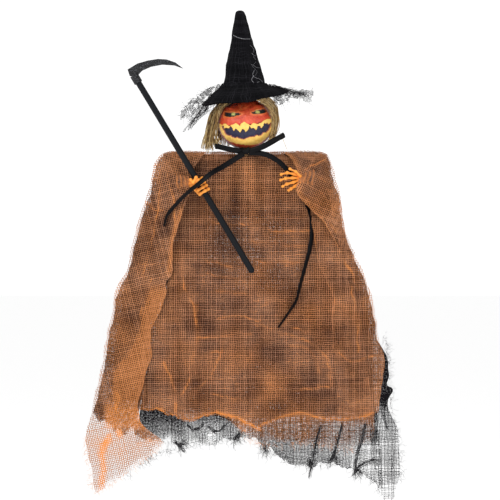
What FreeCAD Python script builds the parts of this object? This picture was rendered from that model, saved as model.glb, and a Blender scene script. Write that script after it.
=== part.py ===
import FreeCAD, Part
import os
import re
from math import cos, pi, sin

# Hanging scarecrow figure: a pumpkin head with a witch hat on a wooden shoulder bar, a gauze
# robe, two jointed arms with skeleton hands, and a two-piece scythe held in one fist.
# Millimetres.  +X is the viewer's right, -Y is the front and +Z is up.  The origin is the
# centre of the hole in the hanger plate, at the back of the neck, level with the bar.

doc = FreeCAD.newDocument("scarecrow")
sheet = doc.addObject("Spreadsheet::Sheet", "Dimensions")

DIMENSIONS = {
    # skeleton
    "skeleton_y": -12.0,
    "bar_radius": 6.0,
    "bar_half_length": 150.0,
    "block_half_width": 14.0,
    "block_front": -23.0,
    "block_back": -1.0,
    "block_bottom": -16.0,
    "block_top": 8.0,
    "plate_half_width": 9.0,
    "plate_half_thickness": 1.0,
    "plate_bottom": -14.0,
    "plate_top": 7.0,
    "hanger_hole_radius": 3.0,
    "hanger_recess_radius": 5.5,
    "hanger_recess_depth": 4.0,
    "screw_spacing": 5.5,
    "screw_drop": 10.0,
    "screw_radius": 1.2,
    "screw_head_radius": 2.2,
    "screw_head_thickness": 1.2,
    "screw_depth": 4.0,
    "neck_rod_radius": 3.0,
    "neck_rod_bottom": -12.0,
    "neck_rod_top": 56.0,
    "running_clearance": 0.05,
    "end_gap": 0.2,
    "overrun": 1.0,
    # shoulder pivots and arms
    "pivot_x": 140.0,
    "pivot_radius": 2.5,
    "pivot_head_radius": 4.5,
    "pivot_head_thickness": 1.0,
    "pivot_bottom": -19.0,
    "cap_radius": 3.6,
    "cap_height": 3.6,
    "eye_radius": 7.0,
    "eye_bottom": -15.0,
    "eye_height": 6.0,
    "eye_bore_extra": 10.0,
    "rod_overlap": 0.6,
    "arm_rod_radius": 3.5,
    "elbow_radius": 4.6,
    "elbow_x": 120.0,
    "hand_y": -70.0,
    "wrist_left_z": -48.0,
    "wrist_right_z": -42.0,
    "peg_radius": 3.0,
    "peg_length": 24.0,
    "gather_start": 4.6,
    "gather_length": 10.0,
    "gather_wide_radius": 10.0,
    "gather_narrow_radius": 6.5,
    "gather_gap": 0.3,
    "gather_hole_half_length": 30.0,
    # hands
    "wrist_stub_radius": 6.2,
    "wrist_stub_start": 16.0,
    "wrist_stub_length": 13.0,
    "finger_radius": 3.2,
    "finger_pitch": 7.8,
    "grip_gap": 0.4,
    "grip_above_joint": 2.0,
    "grip_room_half_length": 45.0,
    "palm_radius": 5.0,
    "palm_side_radius": 4.6,
    "palm_half_length": 10.92,
    "thumb_tip_x": 2.0,
    "thumb_tip_rise": 18.72,
    "thumb_joint_forward": 6.265,
    "thumb_joint_rise": 15.6,
    "thumb_base_radius": 3.8,
    "knuckle_radius": 4.1,
    "fingertip_radius": 2.9,
    "open_thumb_base_radius": 3.6,
    # scythe
    "handle_radius": 5.75,
    "handle_length": 414.0,
    "handle_upper_length": 236.0,
    "handle_top_x": -202.0,
    "handle_top_z": 145.0,
    "handle_lean": 31.05,
    "spigot_radius": 4.0,
    "spigot_length": 24.0,
    "spigot_clearance": 0.05,
    "socket_end_gap": 0.5,
    "handle_joint_gap": 0.05,
    "blade_thickness": 4.0,
    "socket_radius": 8.0,
    "socket_above": 4.0,
    "socket_length": 16.0,
    # head and hat
    "head_x": 2.0,
    "head_z": 63.0,
    "head_half_width": 54.0,
    "head_half_height": 51.0,
    "head_tilt": -5.0,
    "head_gap": 0.4,
    "brim_x": 1.0,
    "brim_z": 112.0,
    "brim_radius": 79.0,
    "brim_thickness": 3.0,
    "brim_tilt": -8.5,
    "brim_droop": 5.0,
    "cone_lean": -3.0,
    "cone_base_x": 0.5,
    "cone_base_z": 84.0,
    "band_radius": 50.0,
    "band_height": 20.0,
    "band_gap": 0.3,
    "band_cone_gap": 0.5,
    "below_brim_depth": 60.0,
    "gauze_half_width": 118.0,
    "gauze_half_depth": 92.0,
    "gauze_thickness": 2.0,
    "gauze_lift": 1.0,
    "hair_depth": 22.0,
    "hair_back_depth": 20.0,
    "hair_back_overhang": 5.0,
    "fringe_depth": 60.0,
    "fringe_start": 16.0,
    "fringe_thickness": 3.5,
    # robe
    "cloth_thickness": 2.4,
    "layer_gap": 0.4,
    "front_y": -24.2,
    "back_y": 7.0,
    "sleeve_y": -36.0,
    "wrap_end_x": 158.0,
    "wrap_neck_x": 17.0,
    "wrap_half_depth": 18.4,
    "wrap_height": 11.2,
    "wrap_centre_y": -10.8,
    "wrap_bottom": -0.6,
    # ribbon
    "ribbon_width": 8.0,
    "ribbon_thickness": 1.6,
    "ribbon_y": -51.0,
    "knot_half_width": 6.0,
    "knot_height": 11.0,
    "knot_depth": 7.0,
    "knot_z": 5.0,
    "loop_depth": 6.0,
    "loop_setback": 3.0,
    "tail_left_forward": 4.0,
    "tail_right_setback": 2.0,
    "tail_end_forward": 6.0,
    "neck_ring_bottom": 8.6,
    "neck_ring_height": 2.6,
    "neck_ring_half_width": 14.0,
    "neck_ring_half_depth": 21.5,
    "neck_ring_centre_y": -26.0,
    "neck_ring_thickness": 2.4,
}

for row, (alias, number) in enumerate(DIMENSIONS.items(), start=1):
    sheet.set(f"A{row}", alias)
    sheet.set(f"B{row}", str(number))
    sheet.setAlias(f"B{row}", alias)
doc.recompute()

nodes = []


def size(alias):
    """The value of one driving dimension, for code that can't be bound to its cell."""
    return float(sheet.get(alias))


def bind(target, sizes):
    """Bind properties of an object to formulas, in which a dimension's alias is its cell."""
    for prop, formula in sizes.items():
        cells = re.sub(r"[a-z_]\w*", lambda word: "Dimensions." + word.group(), formula)
        target.setExpression(prop, cells)


def at(x="0", y="0", z="0"):
    """Placement formulas for a position."""
    return {".Placement.Base.x": x, ".Placement.Base.y": y, ".Placement.Base.z": z}


def solid(kind, name, sizes, turn=None):
    """A Part primitive with its sizes and position bound to the sheet."""
    made = doc.addObject("Part::" + kind, name)
    if turn:
        made.Placement = FreeCAD.Placement(FreeCAD.Vector(), turn)
    bind(made, sizes)
    return made


def node(made, label):
    """Name a finished sub-part."""
    made.Label = label
    nodes.append(made)
    return made


def cut(name, base, *tools):
    """The base with each tool cut from it."""
    for number, tool in enumerate(tools, start=1):
        made = doc.addObject("Part::Cut", f"{name}_cut_{number}")
        made.Base = base
        made.Tool = tool
        base = made
    return base


def fuse(name, *pieces):
    """Several solids joined into one."""
    made = doc.addObject("Part::MultiFuse", name + "_fuse")
    made.Shapes = list(pieces)
    return made


ALONG_X = FreeCAD.Rotation(FreeCAD.Vector(0, 1, 0), 90)
ALONG_MINUS_Y = FreeCAD.Rotation(FreeCAD.Vector(1, 0, 0), 90)
ALONG_PLUS_Y = FreeCAD.Rotation(FreeCAD.Vector(1, 0, 0), -90)
SEAM_FORWARD = FreeCAD.Rotation(FreeCAD.Vector(0, 0, 1), -90)
MIRRORED = ((-1, "left"), (1, "right"))


def outline_edges(points, smooth):
    """A closed outline of (x, z) points, as one periodic curve or as straight runs."""
    corners = [FreeCAD.Vector(x, z, 0) for x, z in points]
    if smooth:
        curve = Part.BSplineCurve()
        curve.interpolate(corners, PeriodicFlag=True)
        return [curve]
    return [Part.LineSegment(a, b) for a, b in zip(corners, corners[1:] + corners[:1])]


def slab(name, points, depth, y, smooth=False):
    """A PartDesign body: an outline in the XZ plane, padded forwards from y."""
    body = doc.addObject("PartDesign::Body", name)
    plane = [f for f in body.Origin.OriginFeatures if f.Role == "XZ_Plane"][0]
    sketch = body.newObject("Sketcher::SketchObject", name + "_sketch")
    sketch.AttachmentSupport = [(plane, "")]
    sketch.MapMode = "FlatFace"
    sketch.addGeometry(outline_edges(points, smooth), False)
    pad = body.newObject("PartDesign::Pad", name + "_pad")
    pad.Profile = sketch
    bind(pad, {"Length": depth})
    bind(body, {".Placement.Base.y": y})
    return body


def spun(name, profile, placement):
    """A PartDesign body turned from an (r, z) profile about its own Z axis."""
    body = doc.addObject("PartDesign::Body", name)
    plane = [f for f in body.Origin.OriginFeatures if f.Role == "XZ_Plane"][0]
    sketch = body.newObject("Sketcher::SketchObject", name + "_sketch")
    sketch.AttachmentSupport = [(plane, "")]
    sketch.MapMode = "FlatFace"
    sketch.addGeometry(outline_edges(profile, False), False)
    turned = body.newObject("PartDesign::Revolution", name + "_revolution")
    turned.Profile = sketch
    turned.ReferenceAxis = (sketch, ["V_Axis"])
    turned.Angle = 360
    body.Placement = placement
    return body


# ---------------------------------------------------------------- skeleton


def build_neck():
    bar_hole = solid("Cylinder", "block_bar_hole", {
        "Radius": "bar_radius + running_clearance", "Height": "2 * block_half_width + 2 * overrun",
        **at("-block_half_width - overrun", "skeleton_y", "0")}, ALONG_X)
    rod_hole = solid("Cylinder", "block_rod_hole", {
        "Radius": "neck_rod_radius + running_clearance", "Height": "block_top - neck_rod_bottom + overrun",
        **at("0", "skeleton_y", "neck_rod_bottom - end_gap")})
    recess = solid("Cylinder", "block_recess", {
        "Radius": "hanger_recess_radius", "Height": "hanger_recess_depth + overrun",
        **at("0", "block_back + overrun", "0")}, ALONG_MINUS_Y)
    stock = solid("Box", "block_stock", {
        "Length": "2 * block_half_width", "Width": "block_back - block_front",
        "Height": "block_top - block_bottom",
        **at("-block_half_width", "block_front", "block_bottom")})
    plate = solid("Box", "plate_stock", {
        "Length": "2 * plate_half_width", "Width": "2 * plate_half_thickness",
        "Height": "plate_top - plate_bottom",
        **at("-plate_half_width", "-plate_half_thickness", "plate_bottom")})
    plate_hole = solid("Cylinder", "plate_hole", {
        "Radius": "hanger_hole_radius", "Height": "4 * plate_half_thickness",
        **at("0", "2 * plate_half_thickness", "0")}, ALONG_MINUS_Y)
    block_tools = [bar_hole, rod_hole, recess]
    plate_tools = [plate_hole]
    for side, word in MIRRORED:
        x = f"{side} * screw_spacing"
        shank = solid("Cylinder", f"screw_shank_{word}", {
            "Radius": "screw_radius", "Height": "screw_depth + 2 * plate_half_thickness",
            **at(x, "plate_half_thickness", "-screw_drop")}, ALONG_MINUS_Y)
        head = solid("Cylinder", f"screw_head_{word}", {
            "Radius": "screw_head_radius", "Height": "screw_head_thickness",
            **at(x, "plate_half_thickness", "-screw_drop")}, ALONG_PLUS_Y)
        hole = solid("Cylinder", f"screw_hole_{word}", {
            "Radius": "screw_radius + running_clearance",
            "Height": "screw_depth + 2 * plate_half_thickness + 2 * overrun",
            **at(x, "plate_half_thickness + overrun", "-screw_drop")}, ALONG_MINUS_Y)
        node(fuse(f"hanger_screw_{word}", shank, head), f"hanger_screw_{word}")
        block_tools.append(hole)
        plate_tools.append(hole)
    node(cut("neck_block", stock, *block_tools), "neck_block")
    node(cut("hanger_plate", plate, *plate_tools), "hanger_plate")
    node(solid("Cylinder", "neck_rod", {
        "Radius": "neck_rod_radius", "Height": "neck_rod_top - neck_rod_bottom",
        **at("0", "skeleton_y", "neck_rod_bottom")}), "neck_rod")
    bar = solid("Cylinder", "bar_stock", {
        "Radius": "bar_radius", "Height": "2 * bar_half_length",
        **at("-bar_half_length", "skeleton_y", "0")}, ALONG_X)
    holes = [solid("Cylinder", "bar_rod_hole", {
        "Radius": "neck_rod_radius + running_clearance", "Height": "4 * bar_radius",
        **at("0", "skeleton_y", "-2 * bar_radius")})]
    for side, word in MIRRORED:
        holes.append(solid("Cylinder", f"bar_pivot_hole_{word}", {
            "Radius": "pivot_radius + running_clearance", "Height": "4 * bar_radius",
            **at(f"{side} * pivot_x", "skeleton_y", "-2 * bar_radius")}))
    node(cut("shoulder_bar", bar, *holes), "shoulder_bar")


def build_pivots():
    for side, word in MIRRORED:
        x = f"{side} * pivot_x"
        shank = solid("Cylinder", f"pivot_shank_{word}", {
            "Radius": "pivot_radius", "Height": "bar_radius - pivot_bottom",
            **at(x, "skeleton_y", "pivot_bottom")})
        head = solid("Cylinder", f"pivot_head_{word}", {
            "Radius": "pivot_head_radius", "Height": "pivot_head_thickness",
            **at(x, "skeleton_y", "bar_radius")})
        node(fuse(f"pivot_bolt_{word}", shank, head), f"pivot_bolt_{word}")
        cap = solid("Cylinder", f"cap_stock_{word}", {
            "Radius": "cap_radius", "Height": "cap_height",
            **at(x, "skeleton_y", "pivot_bottom - end_gap")})
        bore = solid("Cylinder", f"cap_bore_{word}", {
            "Radius": "pivot_radius + running_clearance", "Height": "cap_height + 2 * overrun",
            **at(x, "skeleton_y", "pivot_bottom - overrun")})
        node(cut(f"pivot_cap_{word}", cap, bore), f"pivot_cap_{word}")


# ---------------------------------------------------------------- arms and hands


def rod_between(name, start, end, radius):
    """A round rod from one point to another."""
    run = end - start
    made = doc.addObject("Part::Cylinder", name)
    bind(made, {"Radius": radius})
    made.Height = run.Length
    made.Placement = FreeCAD.Placement(start, FreeCAD.Rotation(FreeCAD.Vector(0, 0, 1), run))
    return made


def build_arms():
    for side, word in MIRRORED:
        wrist_z = f"wrist_{word}_z"
        eye = solid("Cylinder", f"arm_eye_{word}", {
            "Radius": "eye_radius", "Height": "eye_height",
            **at(f"{side} * pivot_x", "skeleton_y", "eye_bottom")})
        bore = solid("Cylinder", f"arm_eye_bore_{word}", {
            "Radius": "pivot_radius + running_clearance",
            "Height": "eye_height + 2 * eye_bore_extra",
            **at(f"{side} * pivot_x", "skeleton_y", "eye_bottom - eye_bore_extra")})
        shoulder = FreeCAD.Vector(
            side * size("pivot_x"), size("skeleton_y"), size("eye_bottom") + size("eye_height") / 2)
        elbow = FreeCAD.Vector(side * size("elbow_x"), size("hand_y"), size(wrist_z))
        reach = (elbow - shoulder).normalize() * (size("eye_radius") - size("rod_overlap"))
        rod = rod_between(f"arm_rod_{word}", shoulder + reach, elbow, "arm_rod_radius")
        ball = solid("Sphere", f"arm_elbow_{word}", {
            "Radius": "elbow_radius", **at(f"{side} * elbow_x", "hand_y", wrist_z)}, SEAM_FORWARD)
        peg_x = "-elbow_x" if side < 0 else "elbow_x - peg_length"
        peg = solid("Cylinder", f"arm_peg_{word}", {
            "Radius": "peg_radius", "Height": "peg_length", **at(peg_x, "hand_y", wrist_z)}, ALONG_X)
        arm = fuse(f"arm_{word}", eye, rod, ball, peg)
        node(cut(f"arm_{word}", arm, bore), f"arm_{word}")

        narrow = "gather_narrow_radius"
        wide = "gather_wide_radius"
        start_x = "-elbow_x + gather_start" if side < 0 else "elbow_x - gather_start - gather_length"
        gather = solid("Cone", f"gather_stock_{word}", {
            "Radius1": wide if side < 0 else narrow, "Radius2": narrow if side < 0 else wide,
            "Height": "gather_length", **at(start_x, "hand_y", wrist_z)}, ALONG_X)
        hole = solid("Cylinder", f"gather_hole_{word}", {
            "Radius": "peg_radius + gather_gap", "Height": "2 * gather_hole_half_length",
            **at(f"{side} * elbow_x - gather_hole_half_length", "hand_y", wrist_z)}, ALONG_X)
        rod_room = rod_between(
            f"gather_rod_room_{word}", shoulder, elbow, "arm_rod_radius + gather_gap")
        ball_room = solid("Sphere", f"gather_ball_room_{word}", {
            "Radius": "elbow_radius + gather_gap", **at(f"{side} * elbow_x", "hand_y", wrist_z)},
            SEAM_FORWARD)
        node(cut(f"wrist_gather_{word}", gather, hole, rod_room, ball_room), f"wrist_gather_{word}")


def capsule(start, end, radius):
    """A round-ended bone."""
    run = end - start
    bone = Part.makeCylinder(radius, run.Length, start, run)
    for point in (start, end):
        bone = bone.fuse(Part.makeSphere(radius, point))
    return bone


def wrist_stub(side, wrist_z):
    """The round stub that each hand turns on, and the bore for the arm's peg."""
    tip_x = side * (size("elbow_x") - size("wrist_stub_start"))
    inward = FreeCAD.Vector(-side, 0, 0)
    start = FreeCAD.Vector(tip_x, size("hand_y"), wrist_z)
    stub = Part.makeCylinder(size("wrist_stub_radius"), size("wrist_stub_length"), start, inward)
    bore_depth = size("peg_length") - size("wrist_stub_start") + 2 * size("end_gap")
    extra = 2 * size("overrun")
    bore = Part.makeCylinder(
        size("peg_radius") + size("running_clearance"), bore_depth + extra,
        start - inward * extra, inward)
    return stub, bore, start + inward * size("wrist_stub_length")


def handle_direction():
    lean = size("handle_lean") * pi / 180
    return FreeCAD.Vector(sin(lean), 0, -cos(lean))


def handle_top():
    return FreeCAD.Vector(size("handle_top_x"), size("hand_y"), size("handle_top_z"))


def build_left_hand():
    """A fist: four finger rings round the scythe handle, a palm behind them and a thumb."""
    stub, bore, palm_start = wrist_stub(-1, size("wrist_left_z"))
    along = handle_direction()
    grip = handle_top() + along * (size("handle_upper_length") - size("grip_above_joint"))
    finger = size("finger_radius")
    ring = size("handle_radius") + finger
    shape = stub
    for number in range(4):
        centre = grip + along * ((number - 1.5) * size("finger_pitch"))
        shape = shape.fuse(Part.makeTorus(ring, finger, centre, along))
    palm = grip - FreeCAD.Vector(ring, 0, 0)
    palm_low = palm + along * size("palm_half_length")
    palm_high = palm - along * size("palm_half_length")
    shape = shape.fuse(capsule(palm_low, palm_high, size("palm_radius")))
    shape = shape.fuse(capsule(palm_start, palm_low, size("palm_side_radius")))
    shape = shape.fuse(capsule(palm_start, palm_high, size("palm_side_radius")))
    thumb_tip = grip + FreeCAD.Vector(size("thumb_tip_x"), -ring, 0)
    thumb_tip = thumb_tip - along * size("thumb_tip_rise")
    thumb_joint = grip + FreeCAD.Vector(-ring, -size("thumb_joint_forward"), 0)
    thumb_joint = thumb_joint - along * size("thumb_joint_rise")
    shape = shape.fuse(capsule(thumb_joint, thumb_tip, finger))
    shape = shape.fuse(capsule(palm_start, thumb_joint, size("thumb_base_radius")))
    half_room = size("grip_room_half_length")
    grip_room = Part.makeCylinder(
        size("handle_radius") + size("grip_gap"), 2 * half_room, grip - along * half_room, along)
    hand = doc.addObject("Part::Feature", "hand_left")
    hand.Shape = shape.cut(grip_room).cut(bore).removeSplitter()
    node(hand, "hand_left")


def build_right_hand():
    """A half-closed open hand: four bent fingers side by side, and a thumb laid over them."""
    stub, bore, palm_start = wrist_stub(1, size("wrist_right_z"))
    to_knuckle = FreeCAD.Vector(-6, -4, -1)
    to_middle = FreeCAD.Vector(-10, -7, -1)
    to_tip = FreeCAD.Vector(-8, 4, -2)
    middle_splay = 0.12
    tip_splay = 0.05
    to_thumb_joint = FreeCAD.Vector(-4, -9, 11)
    to_thumb_tip = FreeCAD.Vector(-14, -5, 4)
    finger = size("finger_radius")
    shape = stub
    for number in range(4):
        rise = FreeCAD.Vector(0, 0, (1.5 - number) * size("finger_pitch"))
        knuckle = palm_start + to_knuckle + rise
        middle = knuckle + to_middle + rise * middle_splay
        tip = middle + to_tip + rise * tip_splay
        shape = shape.fuse(capsule(palm_start, knuckle, size("knuckle_radius")))
        shape = shape.fuse(capsule(knuckle, middle, finger))
        shape = shape.fuse(capsule(middle, tip, size("fingertip_radius")))
    thumb_joint = palm_start + to_thumb_joint
    thumb_tip = thumb_joint + to_thumb_tip
    shape = shape.fuse(capsule(palm_start, thumb_joint, size("open_thumb_base_radius")))
    shape = shape.fuse(capsule(thumb_joint, thumb_tip, finger))
    hand = doc.addObject("Part::Feature", "hand_right")
    hand.Shape = shape.cut(bore).removeSplitter()
    node(hand, "hand_right")


# ---------------------------------------------------------------- scythe


def handle_section(name, start_from_top, length, radius):
    """A cylinder on the handle's axis, starting at a distance below its top."""
    made = solid("Cylinder", name, {"Radius": radius, "Height": length})
    down = FreeCAD.Rotation(FreeCAD.Vector(0, 0, 1), handle_direction())
    made.Placement = FreeCAD.Placement(handle_top() + handle_direction() * start_from_top, down)
    return made


def build_scythe():
    upper_length = size("handle_upper_length")
    upper = handle_section("handle_upper", 0, "handle_upper_length", "handle_radius")
    bore = handle_section(
        "spigot_bore", upper_length - size("spigot_length") - size("socket_end_gap"),
        "spigot_length + 2 * overrun", "spigot_radius + spigot_clearance")
    node(cut("scythe_handle_upper", upper, bore), "scythe_handle_upper")
    lower = handle_section(
        "handle_lower", upper_length + size("handle_joint_gap"),
        "handle_length - handle_upper_length", "handle_radius")
    spigot = handle_section(
        "spigot", upper_length - size("spigot_length"), "spigot_length + overrun",
        "spigot_radius")
    end = solid("Sphere", "handle_end", {"Radius": "handle_radius"})
    end.Placement.Base = handle_top() + handle_direction() * size("handle_length")
    node(fuse("scythe_handle_lower", lower, spigot, end), "scythe_handle_lower")

    # The blade's outline, as (x, z) offsets from the handle's top.
    top = handle_top()
    back_edge = [(-14, 14), (4, 25), (23, 30.5), (42, 33.5), (58, 32.5), (74, 27)]
    tip = [(89, 15.5)]
    cutting_edge = [(72, 21.5), (50, 23), (29, 19), (13, 12), (3, 1)]
    heel = [(-10, 2)]
    outline = [(top.x + x, top.z + z) for x, z in back_edge + tip + cutting_edge + heel]
    crescent = slab(
        "blade_crescent", outline, "blade_thickness", "hand_y + blade_thickness / 2")
    socket = handle_section(
        "blade_socket", -size("socket_above"), "socket_length", "socket_radius")
    room = handle_section(
        "blade_socket_room", 0, "handle_length", "handle_radius + running_clearance")
    node(cut("scythe_blade", fuse("scythe_blade", crescent, socket), room), "scythe_blade")


# ---------------------------------------------------------------- head, hair and hat


def head_ellipsoid(name, gap):
    """The head's outer form, grown by a gap."""
    return solid("Ellipsoid", name, {
        "Radius1": f"head_half_height + {gap}", "Radius2": f"head_half_width + {gap}",
        "Radius3": f"head_half_width + {gap}",
        **at("head_x", "skeleton_y", "head_z")},
        FreeCAD.Rotation(FreeCAD.Vector(0, 1, 0), size("head_tilt")))


def hat_turn():
    roll = FreeCAD.Rotation(FreeCAD.Vector(1, 0, 0), size("brim_droop"))
    tilt = FreeCAD.Rotation(FreeCAD.Vector(0, 1, 0), size("brim_tilt"))
    return tilt.multiply(roll)


def hat_point(lift):
    """A point on the hat's axis, a distance above the brim's underside."""
    base = FreeCAD.Vector(size("brim_x"), size("skeleton_y"), size("brim_z"))
    return base + hat_turn().multVec(FreeCAD.Vector(0, 0, lift))


def hat_disc(name, lift, height, half_width, half_depth):
    """An elliptical disc square to the hat's axis."""
    made = doc.addObject("Part::Feature", name)
    ellipse = Part.Ellipse(FreeCAD.Vector(), size(half_width), size(half_depth))
    made.Shape = Part.Face(Part.Wire(ellipse.toShape())).extrude(FreeCAD.Vector(0, 0, height))
    made.Placement = FreeCAD.Placement(hat_point(lift), hat_turn())
    return made


def hat_ring(name, lift, height, radius):
    made = solid("Cylinder", name, {"Radius": radius, "Height": height})
    made.Placement = FreeCAD.Placement(hat_point(lift), hat_turn())
    return made


def hat_cone(name, grow):
    """The tall hat's form: wide at the brim, hollow-sided, and blunt at the tip."""
    profile = [(0, 0), (46, 0), (44, 20), (38, 54), (34.5, 75), (29, 98), (23.5, 120), (18.2, 139),
               (14.5, 156), (11.5, 170), (9.3, 182), (6, 188), (0, 190)]
    grown = [(r + grow if r else 0, z) for r, z in profile]
    lean = FreeCAD.Rotation(FreeCAD.Vector(0, 1, 0), size("cone_lean"))
    base = FreeCAD.Vector(size("cone_base_x"), size("skeleton_y"), size("cone_base_z"))
    return spun(name, grown, FreeCAD.Placement(base, lean))


def build_head():
    form = head_ellipsoid("head_form", "0")
    bore = solid("Cylinder", "head_bore", {
        "Radius": "neck_rod_radius + running_clearance", "Height": "neck_rod_top + socket_end_gap",
        **at("0", "skeleton_y", "0")})
    node(cut("pumpkin_head", form, bore), "pumpkin_head")


def build_hat():
    brim = hat_ring("brim_stock", 0, "brim_thickness", "brim_radius")
    node(cut("hat_brim", brim, head_ellipsoid("brim_head_room", "head_gap")), "hat_brim")
    below = hat_ring(
        "below_brim", -size("below_brim_depth"), "below_brim_depth + brim_thickness + end_gap",
        "2 * brim_radius")
    room = head_ellipsoid("cone_head_room", "head_gap")
    node(cut("hat_cone", hat_cone("cone_form", 0), below, room), "hat_cone")
    top = size("brim_thickness")
    band = hat_ring("band_stock", top + size("band_gap"), "band_height", "band_radius")
    cone_room = hat_cone("band_cone_room", size("band_cone_gap"))
    node(cut("hat_band", band, cone_room), "hat_band")
    gauze = hat_disc(
        "gauze_stock", top + size("gauze_lift"), size("gauze_thickness"),
        "gauze_half_width", "gauze_half_depth")
    middle = hat_ring("gauze_hole", 0, "band_height", "band_radius + band_cone_gap")
    node(cut("hat_gauze", gauze, middle), "hat_gauze")


def build_hair():
    left = [(-62, 80), (-46, 84), (-44, 40), (-70, 12), (-84, 13), (-80, 50), (-74, 76)]
    right = [(36, 96), (58, 104), (66, 72), (60, 34), (44, 26), (48, 60)]
    back = [(-44, 80), (-30, 92), (30, 98), (48, 90), (50, 50), (34, 22), (-34, 18), (-52, 44)]
    for word, outline, y, depth in (
            ("left", left, "skeleton_y + hair_depth / 2", "hair_depth"),
            ("right", right, "skeleton_y + hair_depth / 2", "hair_depth"),
            ("back", back, "skeleton_y + head_half_width + hair_back_overhang",
             "hair_back_depth")):
        bundle = slab(f"hair_stock_{word}", outline, depth, y)
        room = head_ellipsoid(f"hair_{word}_head_room", "head_gap")
        node(cut(f"hair_{word}", bundle, room), f"hair_{word}")
    shell = head_ellipsoid("fringe_outer", "fringe_thickness")
    room = head_ellipsoid("fringe_head_room", "head_gap")
    window = slab(
        "fringe_window", [(14, 98), (48, 102), (54, 84), (40, 76)], "fringe_depth",
        "skeleton_y - fringe_start")
    lock = doc.addObject("Part::Common", "fringe_lock")
    lock.Base = shell
    lock.Tool = window
    node(cut("hair_fringe", lock, room), "hair_fringe")


# ---------------------------------------------------------------- robe


def build_robe():
    front = [(-118, -2), (118, -2), (121, -60), (140, -120), (165, -250), (196, -400),
             (204, -532), (40, -536), (9, -505), (-60, -486), (-150, -476), (-146, -300),
             (-136, -170), (-121, -60)]
    front_lining = [(-117, -2), (117, -2), (120, -60), (140, -120), (165, -250), (196, -400),
                    (200, -590), (165, -566), (91, -575), (33, -540), (0, -522), (-120, -522),
                    (-150, -500), (-146, -300), (-136, -170), (-120, -60)]
    wing_left = [(-124, -36), (-166, -36), (-187, -87), (-213, -173), (-236, -250), (-254, -327),
                 (-275, -444), (-295, -514), (-291, -570), (-280, -629), (-212, -592), (-141, -525),
                 (-153, -480), (-149, -300), (-139, -172)]
    wing_left_lining = [(-124, -36), (-164, -36), (-185, -90), (-211, -175), (-234, -252),
                        (-252, -330), (-270, -444), (-272, -510), (-210, -528), (-153, -520),
                        (-149, -300), (-139, -172)]
    wing_right = [(124, -36), (160, -36), (178, -117), (190, -165), (219, -225), (238, -295),
                  (250, -366), (241, -478), (202, -480), (199, -400), (168, -250), (143, -120)]
    wing_right_lining = [(124, -36), (160, -36), (176, -117), (188, -165), (217, -225), (236, -295),
                         (250, -360), (267, -397), (273, -431), (284, -538), (289, -583),
                         (268, -636), (204, -592), (199, -400), (168, -250), (143, -120)]
    back = [(-156, -2), (-17, -2), (-15, -20), (15, -20), (17, -2), (156, -2), (184, -135),
            (236, -290), (262, -520), (60, -560), (-120, -540), (-276, -520), (-240, -290),
            (-180, -90)]
    behind = "front_y - cloth_thickness - layer_gap"
    for label, outline, y in (
            ("robe_front_lining", front_lining, "front_y"),
            ("robe_front", front, behind),
            ("robe_wing_left_lining", wing_left_lining, "front_y"),
            ("robe_wing_left", wing_left, behind),
            ("robe_wing_right_lining", wing_right_lining, "front_y"),
            ("robe_wing_right", wing_right, behind),
            ("robe_back_lining", back, "back_y - cloth_thickness - layer_gap"),
            ("robe_back", back, "back_y")):
        node(slab(label, outline, "cloth_thickness", y), label)


def shoulder_wrap(side, word):
    """The robe folded over the shoulder bar, from the neck to the end of the bar."""
    start = size("wrap_neck_x")
    length = size("wrap_end_x") - start
    centre = FreeCAD.Vector(0, size("wrap_centre_y"), size("wrap_bottom"))
    faces = []
    for shrink in (0, size("cloth_thickness")):
        reach = FreeCAD.Vector(0, size("wrap_half_depth") - shrink, 0)
        rise = FreeCAD.Vector(0, 0, size("wrap_height") - shrink)
        arch = Part.Ellipse(centre + reach, centre + rise, centre)
        faces.append(Part.Face(Part.Wire(arch.toShape())))
    ring = faces[0].cut(faces[1]).extrude(FreeCAD.Vector(side * length, 0, 0))
    ring.translate(FreeCAD.Vector(side * start, 0, 0))
    across = 2 * size("wrap_end_x")
    deep = 2 * size("wrap_half_depth")
    corner = FreeCAD.Vector(-across, centre.y - deep, centre.z)
    keep = Part.makeBox(2 * across, 2 * deep, 2 * size("wrap_height"), corner)
    made = doc.addObject("Part::Feature", f"shoulder_wrap_{word}")
    made.Shape = ring.common(keep)
    node(made, f"shoulder_wrap_{word}")


def build_sleeves():
    """The part of each sleeve that hangs from the arm, in front of the robe."""
    left = [(-126, -58), (-98, -66), (-108, -120), (-124, -226), (-127, -226), (-127, -120)]
    right = [(126, -52), (98, -60), (104, -80), (124, -108), (127, -108)]
    for word, outline in (("left", left), ("right", right)):
        node(slab(f"sleeve_{word}", outline, "cloth_thickness", "sleeve_y"), f"sleeve_{word}")


# ---------------------------------------------------------------- ribbon


def ribbon_strip(label, points, y):
    """A flat strip of ribbon along a line of (x, z) points, its width square to the line."""
    half = size("ribbon_width") / 2
    corners = [FreeCAD.Vector(x, 0, z) for x, z in points]
    upper = []
    lower = []
    for number, point in enumerate(corners):
        before = corners[max(number - 1, 0)]
        after = corners[min(number + 1, len(corners) - 1)]
        run = (after - before).normalize()
        square = FreeCAD.Vector(-run.z, 0, run.x) * half
        upper.append(point + square)
        lower.append(point - square)
    loop = [(p.x, p.z) for p in upper + lower[::-1]]
    node(slab(label, loop, "ribbon_thickness", y), label)


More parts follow.
